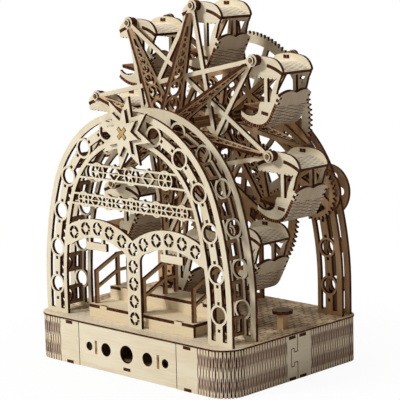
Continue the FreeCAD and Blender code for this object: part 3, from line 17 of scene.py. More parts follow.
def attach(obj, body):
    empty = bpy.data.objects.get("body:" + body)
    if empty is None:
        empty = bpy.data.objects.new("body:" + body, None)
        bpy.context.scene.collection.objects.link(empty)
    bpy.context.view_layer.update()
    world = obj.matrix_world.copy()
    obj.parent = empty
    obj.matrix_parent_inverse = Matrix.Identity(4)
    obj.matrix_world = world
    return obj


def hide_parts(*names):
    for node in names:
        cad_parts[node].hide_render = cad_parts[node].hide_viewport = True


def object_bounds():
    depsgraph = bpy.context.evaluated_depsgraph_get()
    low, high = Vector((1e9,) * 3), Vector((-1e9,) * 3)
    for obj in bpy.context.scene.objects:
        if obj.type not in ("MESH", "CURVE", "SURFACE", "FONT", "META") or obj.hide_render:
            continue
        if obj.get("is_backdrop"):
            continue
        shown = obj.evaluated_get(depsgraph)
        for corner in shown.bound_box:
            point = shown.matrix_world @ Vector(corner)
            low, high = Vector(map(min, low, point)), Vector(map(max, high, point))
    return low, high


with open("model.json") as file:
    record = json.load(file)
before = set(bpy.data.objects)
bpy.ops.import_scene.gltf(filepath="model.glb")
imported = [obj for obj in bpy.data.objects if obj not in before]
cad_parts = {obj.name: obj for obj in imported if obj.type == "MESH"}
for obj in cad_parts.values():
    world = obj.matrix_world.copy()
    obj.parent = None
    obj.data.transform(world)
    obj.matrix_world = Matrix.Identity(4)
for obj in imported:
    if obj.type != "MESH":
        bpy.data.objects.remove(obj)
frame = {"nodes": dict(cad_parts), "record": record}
cad_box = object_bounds()
nodes = frame["nodes"]
MM = 0.001
PLY = 3.0 * MM
X, Y, Z = 0, 1, 2
random.seed(7)
bodies = frame["record"]["behaviour"]["bodies"]
body_of = {node: body for body, names in bodies.items() for node in names}
print("CAD nodes:", len(nodes), "bodies:", len(bodies))

# %% [markdown]
# ## The camera
# A long lens looks at the toy from its front right, a little from above. A camera can be placed
# by hand, but a position worked out from azimuth, height angle and distance is easier to read
# and to change. The small roll is that of a camera held by hand, and the small shift moves the
# frame without turning the camera.

# %% Camera
AZIMUTH, ELEVATION, ROLL = math.radians(43.92), math.radians(9.74), math.radians(-1.37)
DISTANCE = 1.51887
TARGET = Vector((0.0, 0.0042, 0.14285))
SENSOR_WIDTH, LENS, SHIFT_UP = 36, 148.44, 0.00985
back = Vector((
    math.sin(AZIMUTH) * math.cos(ELEVATION),
    -math.cos(AZIMUTH) * math.cos(ELEVATION),
    math.sin(ELEVATION),
))
level = Vector((math.cos(AZIMUTH), math.sin(AZIMUTH), 0))
upright = back.cross(level)
right = math.cos(ROLL) * level + math.sin(ROLL) * upright
up = -math.sin(ROLL) * level + math.cos(ROLL) * upright
camera_data = bpy.data.cameras.new("camera")
camera_data.sensor_width = SENSOR_WIDTH
camera_data.lens = LENS
camera_data.shift_y = SHIFT_UP
camera = bpy.data.objects.new("camera", camera_data)
bpy.context.scene.collection.objects.link(camera)
turn = Matrix((right, up, back)).transposed().to_4x4()
camera.matrix_world = Matrix.Translation(TARGET + back * DISTANCE) @ turn
bpy.context.scene.camera = camera
bpy.context.scene.view_settings.view_transform = "Standard"
print("camera's distance from the toy's middle:", DISTANCE)

# %% [markdown]
# ## Lamps
# A product on white is lit by soft lamps. The key lamp stands in front and to the left, and a
# weaker one hangs above. Area lamps are used because their size sets how soft the shadows are.

# %% Two soft lamps
LAMP_SIZE, LAMP_COLOUR = 0.5, (1.0, 0.98, 0.94)
LAMP_AIM = Vector((0, 0, 0.15))


def lamp(name, place, power):
    """A round lamp that looks at the middle of the toy."""
    data = bpy.data.lights.new(name, "AREA")
    data.shape = "DISK"
    data.size = LAMP_SIZE
    data.energy = power
    data.color = LAMP_COLOUR
    obj = bpy.data.objects.new(name, data)
    obj.location = place
    obj.rotation_euler = (LAMP_AIM - Vector(place)).to_track_quat("-Z", "Y").to_euler()
    bpy.context.scene.collection.objects.link(obj)
    return obj


lamps = [lamp("key_lamp", (-0.75, -1.55, 1.25), 25), lamp("top_lamp", (-0.12, 0.05, 1.75), 12)]
print("lamps:", len(lamps))

# %% [markdown]
# ## A short way to write node trees
# Worlds and materials are both node trees. Building them with a line for each node and each
# link is clear but long, so this small class adds a node together with its inputs, where an
# input is either another node's output or a plain value.

# %% Node trees
class Nodes:
    """The emptied node tree of a world or a material, with short ways to add to it."""

    def __init__(self, owner):
        owner.use_nodes = True
        self.tree = owner.node_tree
        self.tree.nodes.clear()

    def node(self, kind, inputs=None, **settings):
        made = self.tree.nodes.new("ShaderNode" + kind)
        for key, value in settings.items():
            setattr(made, key, value)
        for socket, value in (inputs or {}).items():
            self.feed(made.inputs[socket], value)
        return made

    def feed(self, socket, value):
        """Joins an output to the socket, or sets the socket's own value."""
        if hasattr(value, "is_output"):
            self.tree.links.new(value, socket)
        elif socket.type == "RGBA":
            socket.default_value = (*value, 1)
        else:
            socket.default_value = value

    def math(self, operation, *values):
        return self.node("Math", dict(enumerate(values)), operation=operation).outputs[0]

    def blend(self, factor, first, second):
        """A shader between two shaders."""
        return self.node("MixShader", {0: factor, 1: first, 2: second}).outputs[0]

    def mix(self, factor, first, second):
        """A colour between two colours."""
        return self.node("Mix", {0: factor, 6: first, 7: second}, data_type="RGBA").outputs[2]

    def part(self, vector, axis):
        return self.node("SeparateXYZ", {0: vector}).outputs[axis]

    def noise(self, vector, scale, detail=3.0, roughness=0.55):
        inputs = {"Vector": vector, "Scale": scale, "Detail": detail, "Roughness": roughness}
        return self.node("TexNoise", inputs).outputs["Fac"]

    def stretch(self, vector, scales):
        return self.node("Mapping", {"Vector": vector, "Scale": scales}).outputs["Vector"]

    def between(self, value, low, high, start=0.0):
        """start below low, 1 above high, smooth between."""
        inputs = {"Value": value, "From Min": low, "From Max": high, "To Min": start}
        made = self.node("MapRange", inputs, interpolation_type="SMOOTHSTEP")
        return made.outputs["Result"]


# %% [markdown]
# ## White surroundings
# The world is an even fill from all sides. The camera sees it at full white, and so do glossy
# and transmitted rays, while the light that it gives the toy is lower and warmer. A white wall
# behind the toy would do the same, but it would be in the way when the toy is seen from behind.

# %% World
FILL_COLOUR, FILL = (1.0, 0.90, 0.79), 0.21
WHITE = (1, 1, 1)
world = bpy.data.worlds.new("studio")
bpy.context.scene.world = world
sky = Nodes(world)
rays = sky.node("LightPath").outputs
mirrored = sky.math("MAXIMUM", rays["Is Glossy Ray"], rays["Is Transmission Ray"])
seen = sky.math("MAXIMUM", rays["Is Camera Ray"], mirrored)
fill = sky.node("Background", {"Color": FILL_COLOUR, "Strength": FILL}).outputs[0]
white = sky.node("Background", {"Color": WHITE, "Strength": 1.0}).outputs[0]
sky.node("OutputWorld", {"Surface": sky.blend(seen, fill, white)})
print("world's fill:", FILL)

# %% [markdown]
# ## Finishing a mesh
# All meshes here are built with bmesh, which has the operators of edit mode. Some operators leave
# corners and faces in a different order each time, so both are sorted by their place before the
# mesh goes into the file. The toy then comes out the same in each run.

# %% From an edited mesh to a mesh of the file
def put_in_order(elements, place_of):
    by_place = sorted(elements, key=lambda element: [round(part, 6) for part in place_of(element)])
    for index, element in enumerate(by_place):
        element.index = index
    elements.sort()


def finished(mesh, name):
    """The edited mesh as a mesh of the file; the edited one is given up."""
    put_in_order(mesh.verts, lambda vert: vert.co)
    put_in_order(mesh.faces, lambda face: face.calc_center_median())
    data = bpy.data.meshes.new(name)
    mesh.to_mesh(data)
    mesh.free()
    return data


# %% [markdown]
# ## The floor
# The floor is a sheet of pale paper. A wide plane with one pale material would look grey where
# the lamps hardly reach it. So only under the toy is it mostly a real diffuse surface, where a
# soft shadow stays, and away from the toy it fades to plain white for the camera.

# %% Floor
FLOOR_SIZE = 12.0
PAPER = (0.86, 0.86, 0.86)
SHADOW_SHARE, SHADOW_FROM, SHADOW_TO = 0.06, 0.12, 0.30
floor_mesh = bmesh.new()
bmesh.ops.create_grid(floor_mesh, x_segments=1, y_segments=1, size=FLOOR_SIZE)
floor = bpy.data.objects.new("floor", finished(floor_mesh, "floor"))
bpy.context.scene.collection.objects.link(floor)
floor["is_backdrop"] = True
paper_floor = bpy.data.materials.new("paper_floor")
paper = Nodes(paper_floor)
place = paper.node("TexCoord").outputs["Object"]
away = paper.node("VectorMath", {0: place}, operation="LENGTH").outputs["Value"]
fade = paper.between(away, SHADOW_FROM, SHADOW_TO, 1 - SHADOW_SHARE)
plain = paper.math("MULTIPLY", paper.node("LightPath").outputs["Is Camera Ray"], fade)
matt = paper.node("BsdfDiffuse", {"Color": PAPER}).outputs[0]
glow = paper.node("Emission", {"Color": WHITE}).outputs[0]
paper.node("OutputMaterial", {"Surface": paper.blend(plain, matt, glow)})
floor.data.materials.append(paper_floor)
print("floor:", 2 * FLOOR_SIZE, "m wide")

# %% [markdown]
# ## Plywood as a material
# A laser-cut plate has two looks: pale birch on its faces, with fine fibres along the grain, and
# burnt brown edges where the beam went through, with the thin glue lines of the plies. Pictures
# of wood could be laid on the plates, but noise that is stretched along the grain needs no
# picture and never repeats. `birch` makes the face and `burnt_edge` the edge, and the finishes
# further down only choose colours and directions.

# %% Finish of a piece
ROUGHNESS, SHEEN = 0.7, 0.08
RELIEF = 0.2 * MM
FACE_FROM, FACE_TO = 0.80, 0.95


class Finish(Nodes):
    """A material with one surface shader and its texture coordinates."""

    def __init__(self, name):
        self.material = bpy.data.materials.new(name)
        super().__init__(self.material)
        inputs = {"Roughness": ROUGHNESS, "Specular IOR Level": SHEEN}
        self.shader = self.node("BsdfPrincipled", inputs)
        self.node("OutputMaterial", {"Surface": self.shader.outputs["BSDF"]})
        self.place = self.node("TexCoord").outputs

    def is_face(self, turned):
        """1 on a plate's face and 0 on its edge, from how far the normal is turned to an axis."""
        return self.between(turned, FACE_FROM, FACE_TO)

    def paint(self, colour, height=None, strength=0.12):
        """Gives the surface its colour and, where there is a height, a fine relief."""
        self.feed(self.shader.inputs["Base Color"], colour)
        if height:
            inputs = {"Height": height, "Strength": strength, "Distance": RELIEF}
            self.feed(self.shader.inputs["Normal"], self.node("Bump", inputs).outputs["Normal"])
        return self.material


# %% Birch face
BIRCH_LIGHT = (0.86, 0.795, 0.635)
BIRCH_DARK = (0.77, 0.67, 0.49)
FIBRE_SCALE, FIGURE_SCALE, CLOUD_SCALE = 900.0, 60.0, 14.0


def scales(axis, value, others=1.0):
    """Three scales, with one axis set apart."""
    return tuple(value if index == axis else others for index in range(3))


def birch(finish, vector, along, light=BIRCH_LIGHT, dark=BIRCH_DARK):
    """Colour and height of a birch face whose fibres run along one axis of the vector."""
    fibres = finish.noise(finish.stretch(vector, scales(along, 0.05)), FIBRE_SCALE, 4.0, 0.6)
    figure = finish.noise(finish.stretch(vector, scales(along, 0.16)), FIGURE_SCALE, 2.0)
    clouds = finish.between(finish.noise(vector, CLOUD_SCALE, 2.0), 0.45, 0.75)
    fibre_part = finish.math("MULTIPLY", fibres, 0.45)
    tone = finish.math("ADD", fibre_part, finish.math("MULTIPLY", figure, 0.55))
    colour = finish.mix(finish.between(tone, 0.40, 0.66), light, dark)
    return finish.mix(finish.math("MULTIPLY", clouds, 0.35), colour, dark), fibres


# %% Burnt edge
CHAR = (0.018, 0.007, 0.003)
BURNT = (0.055, 0.014, 0.006)
CORE = (0.130, 0.040, 0.014)
PLY_SCALE, SOOT_SCALE = 1100.0, 190.0


def burnt_edge(finish, vector, across, burnt=BURNT, core=CORE):
    """Colour of a cut edge: brown char with the plies as lines across the thickness."""
    plies = finish.noise(finish.stretch(vector, scales(across, 1.0, 0.15)), PLY_SCALE, 1.0)
    soot = finish.noise(vector, SOOT_SCALE)
    colour = finish.mix(finish.between(plies, 0.42, 0.62), burnt, core)
    return finish.mix(finish.between(soot, 0.42, 0.72), colour, CHAR)


# %% [markdown]
# ## Plates that all face the same way
# The arches, the wheel's star frames, the gears and many other plates lie across the axle, so
# each of their points is face or edge by its normal alone: where the normal runs along the axle
# it is face, elsewhere it is edge. Each face could be given its material by hand, but here one
# material does a whole node, read from the object's own coordinates and normals, and the CAD
# meshes stay as they are.

# %% Materials for CAD plates
def plate_finish(name, facing, along, light=BIRCH_LIGHT, dark=BIRCH_DARK):
    """Plywood for plates whose faces look along one axis, with the grain along another."""
    finish = Finish(name)
    turned = finish.math("ABSOLUTE", finish.part(finish.place["Normal"], facing))
    pale, fibres = birch(finish, finish.place["Object"], along, light, dark)
    edge = burnt_edge(finish, finish.place["Object"], facing)
    return finish.paint(finish.mix(finish.is_face(turned), edge, pale), fibres)


upright_birch = plate_finish("birch_upright", Y, Z)
level_birch = plate_finish("birch_level", Y, X)
flat_birch = plate_finish("birch_flat", Z, X)
# painted shade: the plates behind the front get darker, browner birch because they stand in the
# shade of the front plates
shaded_birch = plate_finish("birch_painted_shade", Y, Z, (0.62, 0.42, 0.245), (0.45, 0.275, 0.14))
clip_birch = plate_finish("birch_clip", Y, X, (0.36, 0.20, 0.10), (0.20, 0.095, 0.045))
table_birch = plate_finish("birch_engraved_top", Z, X, (0.30, 0.24, 0.19), (0.16, 0.12, 0.09))


# %% Plates that get them
dressed = set()


def give(material, *names):
    for name in names:
        data = nodes[name].data
        data.materials.clear()
        data.materials.append(material)
        dressed.add(name)


give(upright_birch, "second_arch")
give(level_birch, "drawer_front", "sign_boards", "front_fretwork", "star")
give(level_birch, "hub_discs", "front_frame", "wheel_gear")
give(level_birch, *(f"gondola_{number}_sides" for number in range(1, 9)))
# these plates behind the front carry painted shade in their colour
give(shaded_birch, "third_arch", "rear_arch", "gear_posts", "rear_frame")
give(shaded_birch, "lay_gear", "lay_pinion", "crank_disc", "crank_wheel", "crank_gear")
give(clip_birch, "axle_caps")
give(flat_birch, "base_floor", "base_frame")
give(table_birch, "table_top")
print("nodes of plates with a finish:", len(dressed))

# %% [markdown]
# ## Shafts and pins
# The pins and shafts are round sticks, and the wheel's axle is made of two crossed strips. The
# grain of all of them runs along the axle. They are dark brown all over, so a face and an edge
# needn't be told apart, and the finish is a plain dark birch.

# %% Sticks
def stick_finish(name, light, dark):
    finish = Finish(name)
    tone, fibres = birch(finish, finish.place["Object"], Y, light, dark)
    return finish.paint(tone, fibres, 0.15)


stick_birch = stick_finish("birch_sticks", (0.34, 0.19, 0.09), (0.20, 0.10, 0.045))
STICKS = ("gondola_pins", "crank_shaft", "crank_knob", "lay_shaft", "wheel_axle")
give(stick_birch, *STICKS)
print("nodes made of sticks:", len(STICKS))

# %% [markdown]
# ## The engraved deck
# The laser also engraves: the deck carries a pattern like small paving stones, whose joints are
# scorched lines. Cutting the joints into the mesh would take thousands of faces for a depth that
# can't be seen, so brick texture nodes give the lines, and the same lines push the surface in a
# little. Behind the front arch the deck gets painted shade from the arches and the wheel, and its
# lines grow stronger there, while in front they fade. The deck's rim is a burnt edge.

# %% Deck
STONE_LENGTH, STONE_WIDTH, JOINT = 9.2 * MM, 4.6 * MM, 0.8 * MM
DARK_FROM, DARK_TO = -80 * MM, -45 * MM
# painted shade: the first colour is the browner tone that the deck takes behind the front arch, in
# the shade of the arches and the wheel; the second is the scorched joints
ARCH_SHADE_TONE, SCORCHED = (0.72, 0.54, 0.34), (0.12, 0.05, 0.022)
WEAR_SCALE = 130.0


def deck_finish(name):
    finish = Finish(name)
    place = finish.place["Object"]
    pale, fibres = birch(finish, place, X)
    stones = finish.node("TexBrick", {
        "Vector": place, "Scale": 1.0, "Bias": 0.0,
        "Brick Width": STONE_LENGTH, "Row Height": STONE_WIDTH,
        "Mortar Size": JOINT, "Mortar Smooth": 0.3,
        "Color1": (0, 0, 0), "Color2": (0.2, 0.2, 0.2), "Mortar": WHITE,
    }, offset=0.5)
    worn = finish.between(finish.noise(place, WEAR_SCALE, 2.0), 0.36, 0.52)
    behind = finish.between(finish.part(place, Y), DARK_FROM, DARK_TO)
    # painted shade behind the front arch, which also makes the engraved lines stronger there than
    # in front
    behind_shade_and_lines = finish.math("ADD", finish.math("MULTIPLY", behind, 0.8), 0.2)
    pale = finish.mix(finish.math("MULTIPLY", behind_shade_and_lines, 0.8), pale, ARCH_SHADE_TONE)
    lines = finish.math("MULTIPLY", finish.math("MULTIPLY", stones.outputs["Color"], worn), behind_shade_and_lines)
    engraved = finish.mix(finish.math("MULTIPLY", lines, 0.92), pale, SCORCHED)
    face = finish.is_face(finish.part(finish.place["Normal"], Z))
    colour = finish.mix(face, burnt_edge(finish, place, Z), engraved)
    return finish.paint(colour, finish.math("SUBTRACT", fibres, lines), 0.25)


give(deck_finish("birch_deck"), "base_deck")
print("paving stones:", STONE_LENGTH, "by", STONE_WIDTH)

# %% [markdown]
# ## Plates that lie in several directions
# A step has treads, risers and cheeks, and the wheel's arms fan out, so there one direction
# isn't enough. These nodes are copied, and each board is found as an island of connected faces.
# The direction with the most area is its sheet's face. The texture coordinates then run along
# each board's long side, with a shift of their own, so that no two boards have the same figure.
# Unwrapping by hand would do the same for one board, but there are more than fifty.

# %% Finishes that use texture coordinates
def sheet_finish(name, light=BIRCH_LIGHT, dark=BIRCH_DARK):
    """Birch face whose fibres run along the first texture coordinate."""
    finish = Finish(name)
    return finish.paint(*birch(finish, finish.place["UV"], X, light, dark))


def cut_finish(name, burnt=BURNT, core=CORE):
    """Burnt edge: the second texture coordinate runs across the plies."""
    finish = Finish(name)
    return finish.paint(burnt_edge(finish, finish.place["UV"], Y, burnt, core))


birch_sheet = sheet_finish("birch_sheet")
# painted shade: parts inside the base and the drawer, and the base walls' inner faces, get dark
# brown birch for the shade in the hollow base
shaded_inner_sheet = sheet_finish("birch_inside_painted_shade", (0.40, 0.26, 0.14), (0.27, 0.16, 0.08))
# painted shade: the wheel's arms lie in the shade inside the wheel, so their birch is browner
shaded_arm_sheet = sheet_finish("birch_arms_painted_shade", (0.70, 0.505, 0.32), (0.51, 0.335, 0.19))
# painted shade: the spacers between the arches face sideways, away from the lamps, so their faces
# are dark brown
shade_sheet = sheet_finish("birch_spacers_painted_shade", (0.27, 0.16, 0.09), (0.18, 0.10, 0.05))
# painted shade: the railings and the table's leg face sideways, away from the key lamp, so their
# birch is browner
shaded_rail_sheet = sheet_finish("birch_railings_painted_shade", (0.56, 0.38, 0.22), (0.41, 0.26, 0.13))
step_sheet = sheet_finish("birch_steps", (0.87, 0.76, 0.56), (0.77, 0.63, 0.41))
birch_cut = cut_finish("birch_cut")
# painted shade: the spacers' cut edges are darker still than the other burnt edges
shaded_spacer_cut = cut_finish("birch_spacer_cut_painted_shade", (0.022, 0.009, 0.005), (0.045, 0.018, 0.009))


# %% Islands of faces
PARALLEL, NEARLY_FLAT = 0.999, 0.9


def islands(mesh):
    """Groups of faces that hang together, in the order of the mesh."""
    mesh.verts.index_update()
    mesh.faces.index_update()
    found = set()
    for first in mesh.faces:
        if first in found:
            continue
        found.add(first)
        group = [first]
        # the group grows while the loop goes through it, until no fresh neighbour is left
        for face in group:
            for edge in face.edges:
                fresh = [other for other in edge.link_faces if other not in found]
                found.update(fresh)
                group += fresh
        yield sorted(group, key=lambda face: face.index)


def main_direction(faces):
    """Direction in which most of the area looks, and its share of the area."""
    areas = {}
    for face in faces:
        alike = [known for known in areas if abs(face.normal.dot(known)) > PARALLEL]
        direction = alike[0] if alike else face.normal.copy().freeze()
        areas[direction] = areas.get(direction, 0) + face.calc_area()
    best = max(areas, key=areas.get)
    return Vector(best), areas[best] / sum(areas.values())


# %% Long and short side of a board
BOX_STEP = 5


def extent(points, direction):
    reaches = [point.dot(direction) for point in points]
    return max(reaches) - min(reaches)


def smallest_box(faces, normal):
    """Long direction and short side of the smallest box around a board."""
    first = normal.orthogonal().normalized()
    second = normal.cross(first)
    points = {vert.index: vert.co for face in faces for vert in face.verts}.values()
    boxes = []
    for degrees in range(0, 90, BOX_STEP):
        angle = math.radians(degrees)
        along = first * math.cos(angle) + second * math.sin(angle)
        sides = [(extent(points, way), way) for way in (along, normal.cross(along))]
        longer, shorter = sorted(sides, key=lambda side: side[0], reverse=True)
        boxes.append((longer[0] * shorter[0], longer[1], shorter[0]))
    return min(boxes, key=lambda box: box[0])[1:]


# %% Boards from a CAD mesh
FACE, EDGE, INSIDE, HINGE, RIM = range(5)
SAME_CORNER = 0.001 * MM
BENT_SHARE = 0.5


def random_shift():
    """Where in the figure of the wood a board is cut."""
    return Vector((random.uniform(0, 3), random.uniform(0, 3)))


def lay_texture(face, texture, shift, along, across):
    for loop in face.loops:
        place = loop.vert.co
        loop[texture].uv = shift + Vector((place.dot(along), place.dot(across)))


def board_copy(node, flat_only=False):
    """A copy of a CAD node's mesh with faces and cut edges told apart, board by board. flat_only
    leaves out the bent sheets: no direction has most of their area."""
    mesh = bmesh.new()
    mesh.from_mesh(nodes[node].data)
    bmesh.ops.remove_doubles(mesh, verts=mesh.verts, dist=SAME_CORNER)
    texture = mesh.loops.layers.uv.new("board")
    bent = []
    for faces in list(islands(mesh)):
        normal, share = main_direction(faces)
        if flat_only and share < BENT_SHARE:
            bent += faces
            continue
        along = smallest_box(faces, normal)[0]
        shift = random_shift()
        for face in faces:
            if abs(face.normal.dot(normal)) > NEARLY_FLAT:
                face.material_index = FACE
                lay_texture(face, texture, shift, along, normal.cross(along))
            else:
                face.material_index = EDGE
                run = face.normal.cross(normal).normalized()
                lay_texture(face, texture, shift, run, normal)
    bmesh.ops.delete(mesh, geom=bent, context="FACES")
    return finished(mesh, node + "_boards")


def joined_copy(node):
    """A copy of a CAD node whose boards touch. Until its corners are merged, each flat side is
    an island of its own, and one that is no wider than the sheet is thick is a cut edge."""
    mesh = bmesh.new()
    mesh.from_mesh(nodes[node].data)
    texture = mesh.loops.layers.uv.new("board")
    for faces in list(islands(mesh)):
        normal = faces[0].normal.copy()
        along, short_side = smallest_box(faces, normal)
        flat = all(face.normal.dot(normal) > PARALLEL for face in faces)
        edge = not flat or short_side < PLY + 0.1 * MM
        shift = random_shift()
        for face in faces:
            face.material_index = EDGE if edge else FACE
            lay_texture(face, texture, shift, along, normal.cross(along))
    bmesh.ops.remove_doubles(mesh, verts=mesh.verts, dist=SAME_CORNER)
    return finished(mesh, node + "_boards")


# %% [markdown]
# Every piece that is made here is put into the scene in the same way: it rides on the body of
# the node that it belongs to, and it either stands for that node or is added to it.

# %% Putting a piece into the scene
def add_piece(name, data, node, materials=(birch_sheet, birch_cut), instead=True):
    for material in materials:
        data.materials.append(material)
    piece = bpy.data.objects.new(name, data)
    bpy.context.scene.collection.objects.link(piece)
    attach(piece, body_of[node])
    if instead:
        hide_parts(node)
    return piece


# %% Copied board nodes
SEPARATE_BOARDS = {
    "base_ribs": shaded_inner_sheet, "drawer_floor": shaded_inner_sheet,
    "front_spacers": shade_sheet, "rear_spacers": shade_sheet,
    "railings": shaded_rail_sheet, "front_arms": shaded_arm_sheet, "rear_arms": shaded_arm_sheet,
}
JOINED_BOARDS = {
    "drawer_sides": shaded_inner_sheet, "lower_step": step_sheet, "upper_step": step_sheet,
    "table_leg": shaded_rail_sheet,
}
for node, sheet in SEPARATE_BOARDS.items():
    # the spacers get darker cut edges: painted shade
    edge = shaded_spacer_cut if sheet == shade_sheet else birch_cut
    add_piece(node + "_boards", board_copy(node), node, (sheet, edge))
for node, sheet in JOINED_BOARDS.items():
    add_piece(node + "_boards", joined_copy(node), node, (sheet, birch_cut))
print("copied board nodes:", len(SEPARATE_BOARDS) + len(JOINED_BOARDS))

# %% [markdown]
# The two tabs of the drawer's sides end flush in its front. Their ends were sanded with the
# front, so they are paler than the other cut edges. Being the foremost faces of their node, they
# are easy to pick.

# %% Sanded tabs in the drawer's front
tab_ends = cut_finish("birch_tab_ends", (0.31, 0.185, 0.07), (0.47, 0.30, 0.12))
drawer_boards = bpy.data.objects["drawer_sides_boards"].data
drawer_boards.materials.append(tab_ends)
foremost = min(face.center.y for face in drawer_boards.polygons)
sanded = [face for face in drawer_boards.polygons if face.center.y < foremost + 0.1 * MM]
for face in sanded:
    face.material_index = len(drawer_boards.materials) - 1
print("sanded faces:", len(sanded))

# %% [markdown]
# ## The pierced rings of the portal
# Rows of rings follow the two crowns and the centre post of the front arch, four slots in each.
# On the real toy the slots are long and their bridges thin, and the bridges stand upright and
# level. New rings could be cut with a Boolean, but the arch has the slots already, so a copy has
# the corners of each ring turned and moved around its middle. The two flat sides are then filled
# again between the outlines, because the old triangles would cross after the turn.

# %% Where the rings are
RING_OUTER, RING_INNER, RING_SLOT = 5.8 * MM, 3.2 * MM, 35.4
NEW_OUTER, NEW_INNER, NEW_SLOT = 6.15 * MM, 3.1 * MM, 40.5
RING_PITCH = 15.8 * MM
CROWN_X, CROWN_TOP, CROWN_RADIUS = 47.0 * MM, 127.5 * MM, 75.5 * MM
FIRST_RING_Z, FIRST_STEP = 51.0 * MM, 2.1
ON_THE_SLOT = 0.05 * MM


def portal_rings():
    """Middles of the pierced rings: five on the post and five on each crown."""
    for index in range(5):
        yield 0, FIRST_RING_Z + index * RING_PITCH
        away = (index - FIRST_STEP) * RING_PITCH
        height = CROWN_TOP - CROWN_RADIUS + math.sqrt(CROWN_RADIUS ** 2 - away ** 2)
        for side in (-1, 1):
            yield side * (CROWN_X + away), height


def turned_corner(dx, dz):
    """New place of a slot's corner, from the ring's middle, or None away from the slots."""
    reach, angle = math.hypot(dx, dz), math.degrees(math.atan2(dz, dx))
    for old, new in ((RING_OUTER, NEW_OUTER), (RING_INNER, NEW_INNER)):
        if abs(reach - old) < ON_THE_SLOT:
            middle = 90 * round(angle / 90)
            turned = math.radians(middle + 45 + (angle - middle) * NEW_SLOT / RING_SLOT)
            return new * math.cos(turned), new * math.sin(turned)
    return None


# %% A copy of the front arch without its flat sides
def is_flat(face):
    return abs(face.normal.y) > NEARLY_FLAT


arch_mesh = bmesh.new()
arch_mesh.from_mesh(nodes["front_arch"].data)
bmesh.ops.remove_doubles(arch_mesh, verts=arch_mesh.verts, dist=SAME_CORNER)
outline = [edge for edge in arch_mesh.edges if sum(map(is_flat, edge.link_faces)) == 1]
flat_sides = [face for face in arch_mesh.faces if is_flat(face)]
bmesh.ops.delete(arch_mesh, geom=flat_sides, context="FACES_KEEP_BOUNDARY")
print("front arch: edges of its outlines", len(outline))


# %% Its rings turned and its sides filled again
def lies_on_side(edge, facing):
    """Whether an edge lies on the front (-1) or the rear (1) side of the arch."""
    return all((vert.co.y - middle_y) * facing > 0 for vert in edge.verts)


moves = {}
for ring_x, ring_z in portal_rings():
    for vert in arch_mesh.verts:
        place = turned_corner(vert.co.x - ring_x, vert.co.z - ring_z)
        if place:
            moves[vert] = (ring_x + place[0], ring_z + place[1])
for vert, (x, z) in moves.items():
    vert.co.x, vert.co.z = x, z
middle_y = sum(vert.co.y for vert in arch_mesh.verts) / len(arch_mesh.verts)
for facing in (-1, 1):
    edges = [edge for edge in outline if lies_on_side(edge, facing)]
    bmesh.ops.triangle_fill(arch_mesh, use_beauty=True, edges=edges, normal=(0, facing, 0))
bmesh.ops.recalc_face_normals(arch_mesh, faces=arch_mesh.faces)
open_edges = [edge for edge in arch_mesh.edges if len(edge.link_faces) != 2]
print("front arch: corners moved", len(moves), "open edges", len(open_edges))
arch = finished(arch_mesh, "front_arch_plate")
add_piece("front_arch_plate", arch, "front_arch", (upright_birch,))

# %% [markdown]
# ## Sheets that bend
# Plywood bends once rows of staggered slits are cut across the bend: a living hinge. Each bent
# sheet is made flat first, as it lies under the laser. A grid gives the cells, the cells outside
# the outline are left out, the grid's edges on a slit are split, and the two sides are moved
# apart. Extruding gives the thickness, and only then is the whole sheet laid along its path. A
# curved plate with slits as a texture would be quicker, but light couldn't fall through it and
# the strip ends at its rims would be missing.

# %% Even levels
def spread(low, high, step):
    """Evenly spaced levels from low to high, no further apart than step."""
    count = max(1, math.ceil((high - low) / step - 1e-9))
    return [low + (high - low) * index / count for index in range(count + 1)]


def levels(ends, step):
    """The given ends and even levels between them, without doubles."""
    ends = sorted(set(round(end, 7) for end in ends))
    found = []
    for low, high in zip(ends, ends[1:]):
        found += spread(low, high, step)[:-1]
    return found + ends[-1:]


def staggered(start, end, pitch, low, high, rows, width_at):
    """Slit columns from start to end: {run: [(bottom, top, width), ...]}, two rows in turn."""
    columns = {}
    for index, run in enumerate(spread(start, end, pitch)):
        run = round(run, 6)
        columns[run] = [
            (low + bottom * (high - low), low + top * (high - low), width_at(run))
            for bottom, top in rows[index % 2]]
    return columns


def row_ends(rows, low, high):
    """The heights at which the slits of all rows begin and end."""
    return [low + share * (high - low) for row in rows for pair in row for share in pair]


# %% Flat sheet
def flat_sheet(runs, heights, keep):
    """A sheet of cells in (run, height), without the cells outside its outline."""
    mesh = bmesh.new()
    columns, rows = len(runs) - 1, len(heights) - 1
    bmesh.ops.create_grid(mesh, x_segments=columns, y_segments=rows, size=1)
    for vert in mesh.verts:
        column, row = round((vert.co.x + 1) / 2 * columns), round((vert.co.y + 1) / 2 * rows)
        vert.co = (runs[column], heights[row], 0)
    outside = [face for face in mesh.faces if not keep(*face.calc_center_median().xy)]
    bmesh.ops.delete(mesh, geom=outside, context="FACES")
    return mesh


# %% Slits
TINY, BLUNTNESS = 1e-7, 0.6


def cut_slits(mesh, slits, bottom, top):
    """Splits the edges that lie on a slit and moves the slit's two sides apart."""
    def slits_at(place):
        column = slits.get(round(place.x, 6), ())
        return [slit for slit in column if slit[0] - TINY <= place.y <= slit[1] + TINY]

    cuts = []
    for edge in mesh.edges:
        first, second = (vert.co for vert in edge.verts)
        inner = abs(first.x - second.x) < TINY and len(edge.link_faces) == 2
        if inner and slits_at((first + second) / 2):
            cuts.append(edge)
    bmesh.ops.split_edges(mesh, edges=cuts)
    for vert in mesh.verts:
        for low, high, width in slits_at(vert.co):
            share = (vert.co.y - low) / (high - low)
            # a slit is widest in its middle, but one that runs out at a rim is widest there
            if low < bottom + TINY:
                share = (share + 1) / 2
            elif high > top - TINY:
                share = share / 2
            opening = width / 2 * max(0, math.sin(math.pi * share)) ** BLUNTNESS
            middles = [face.calc_center_median().x for face in vert.link_faces]
            vert.co.x += math.copysign(opening, sum(middles) / len(middles) - vert.co.x)


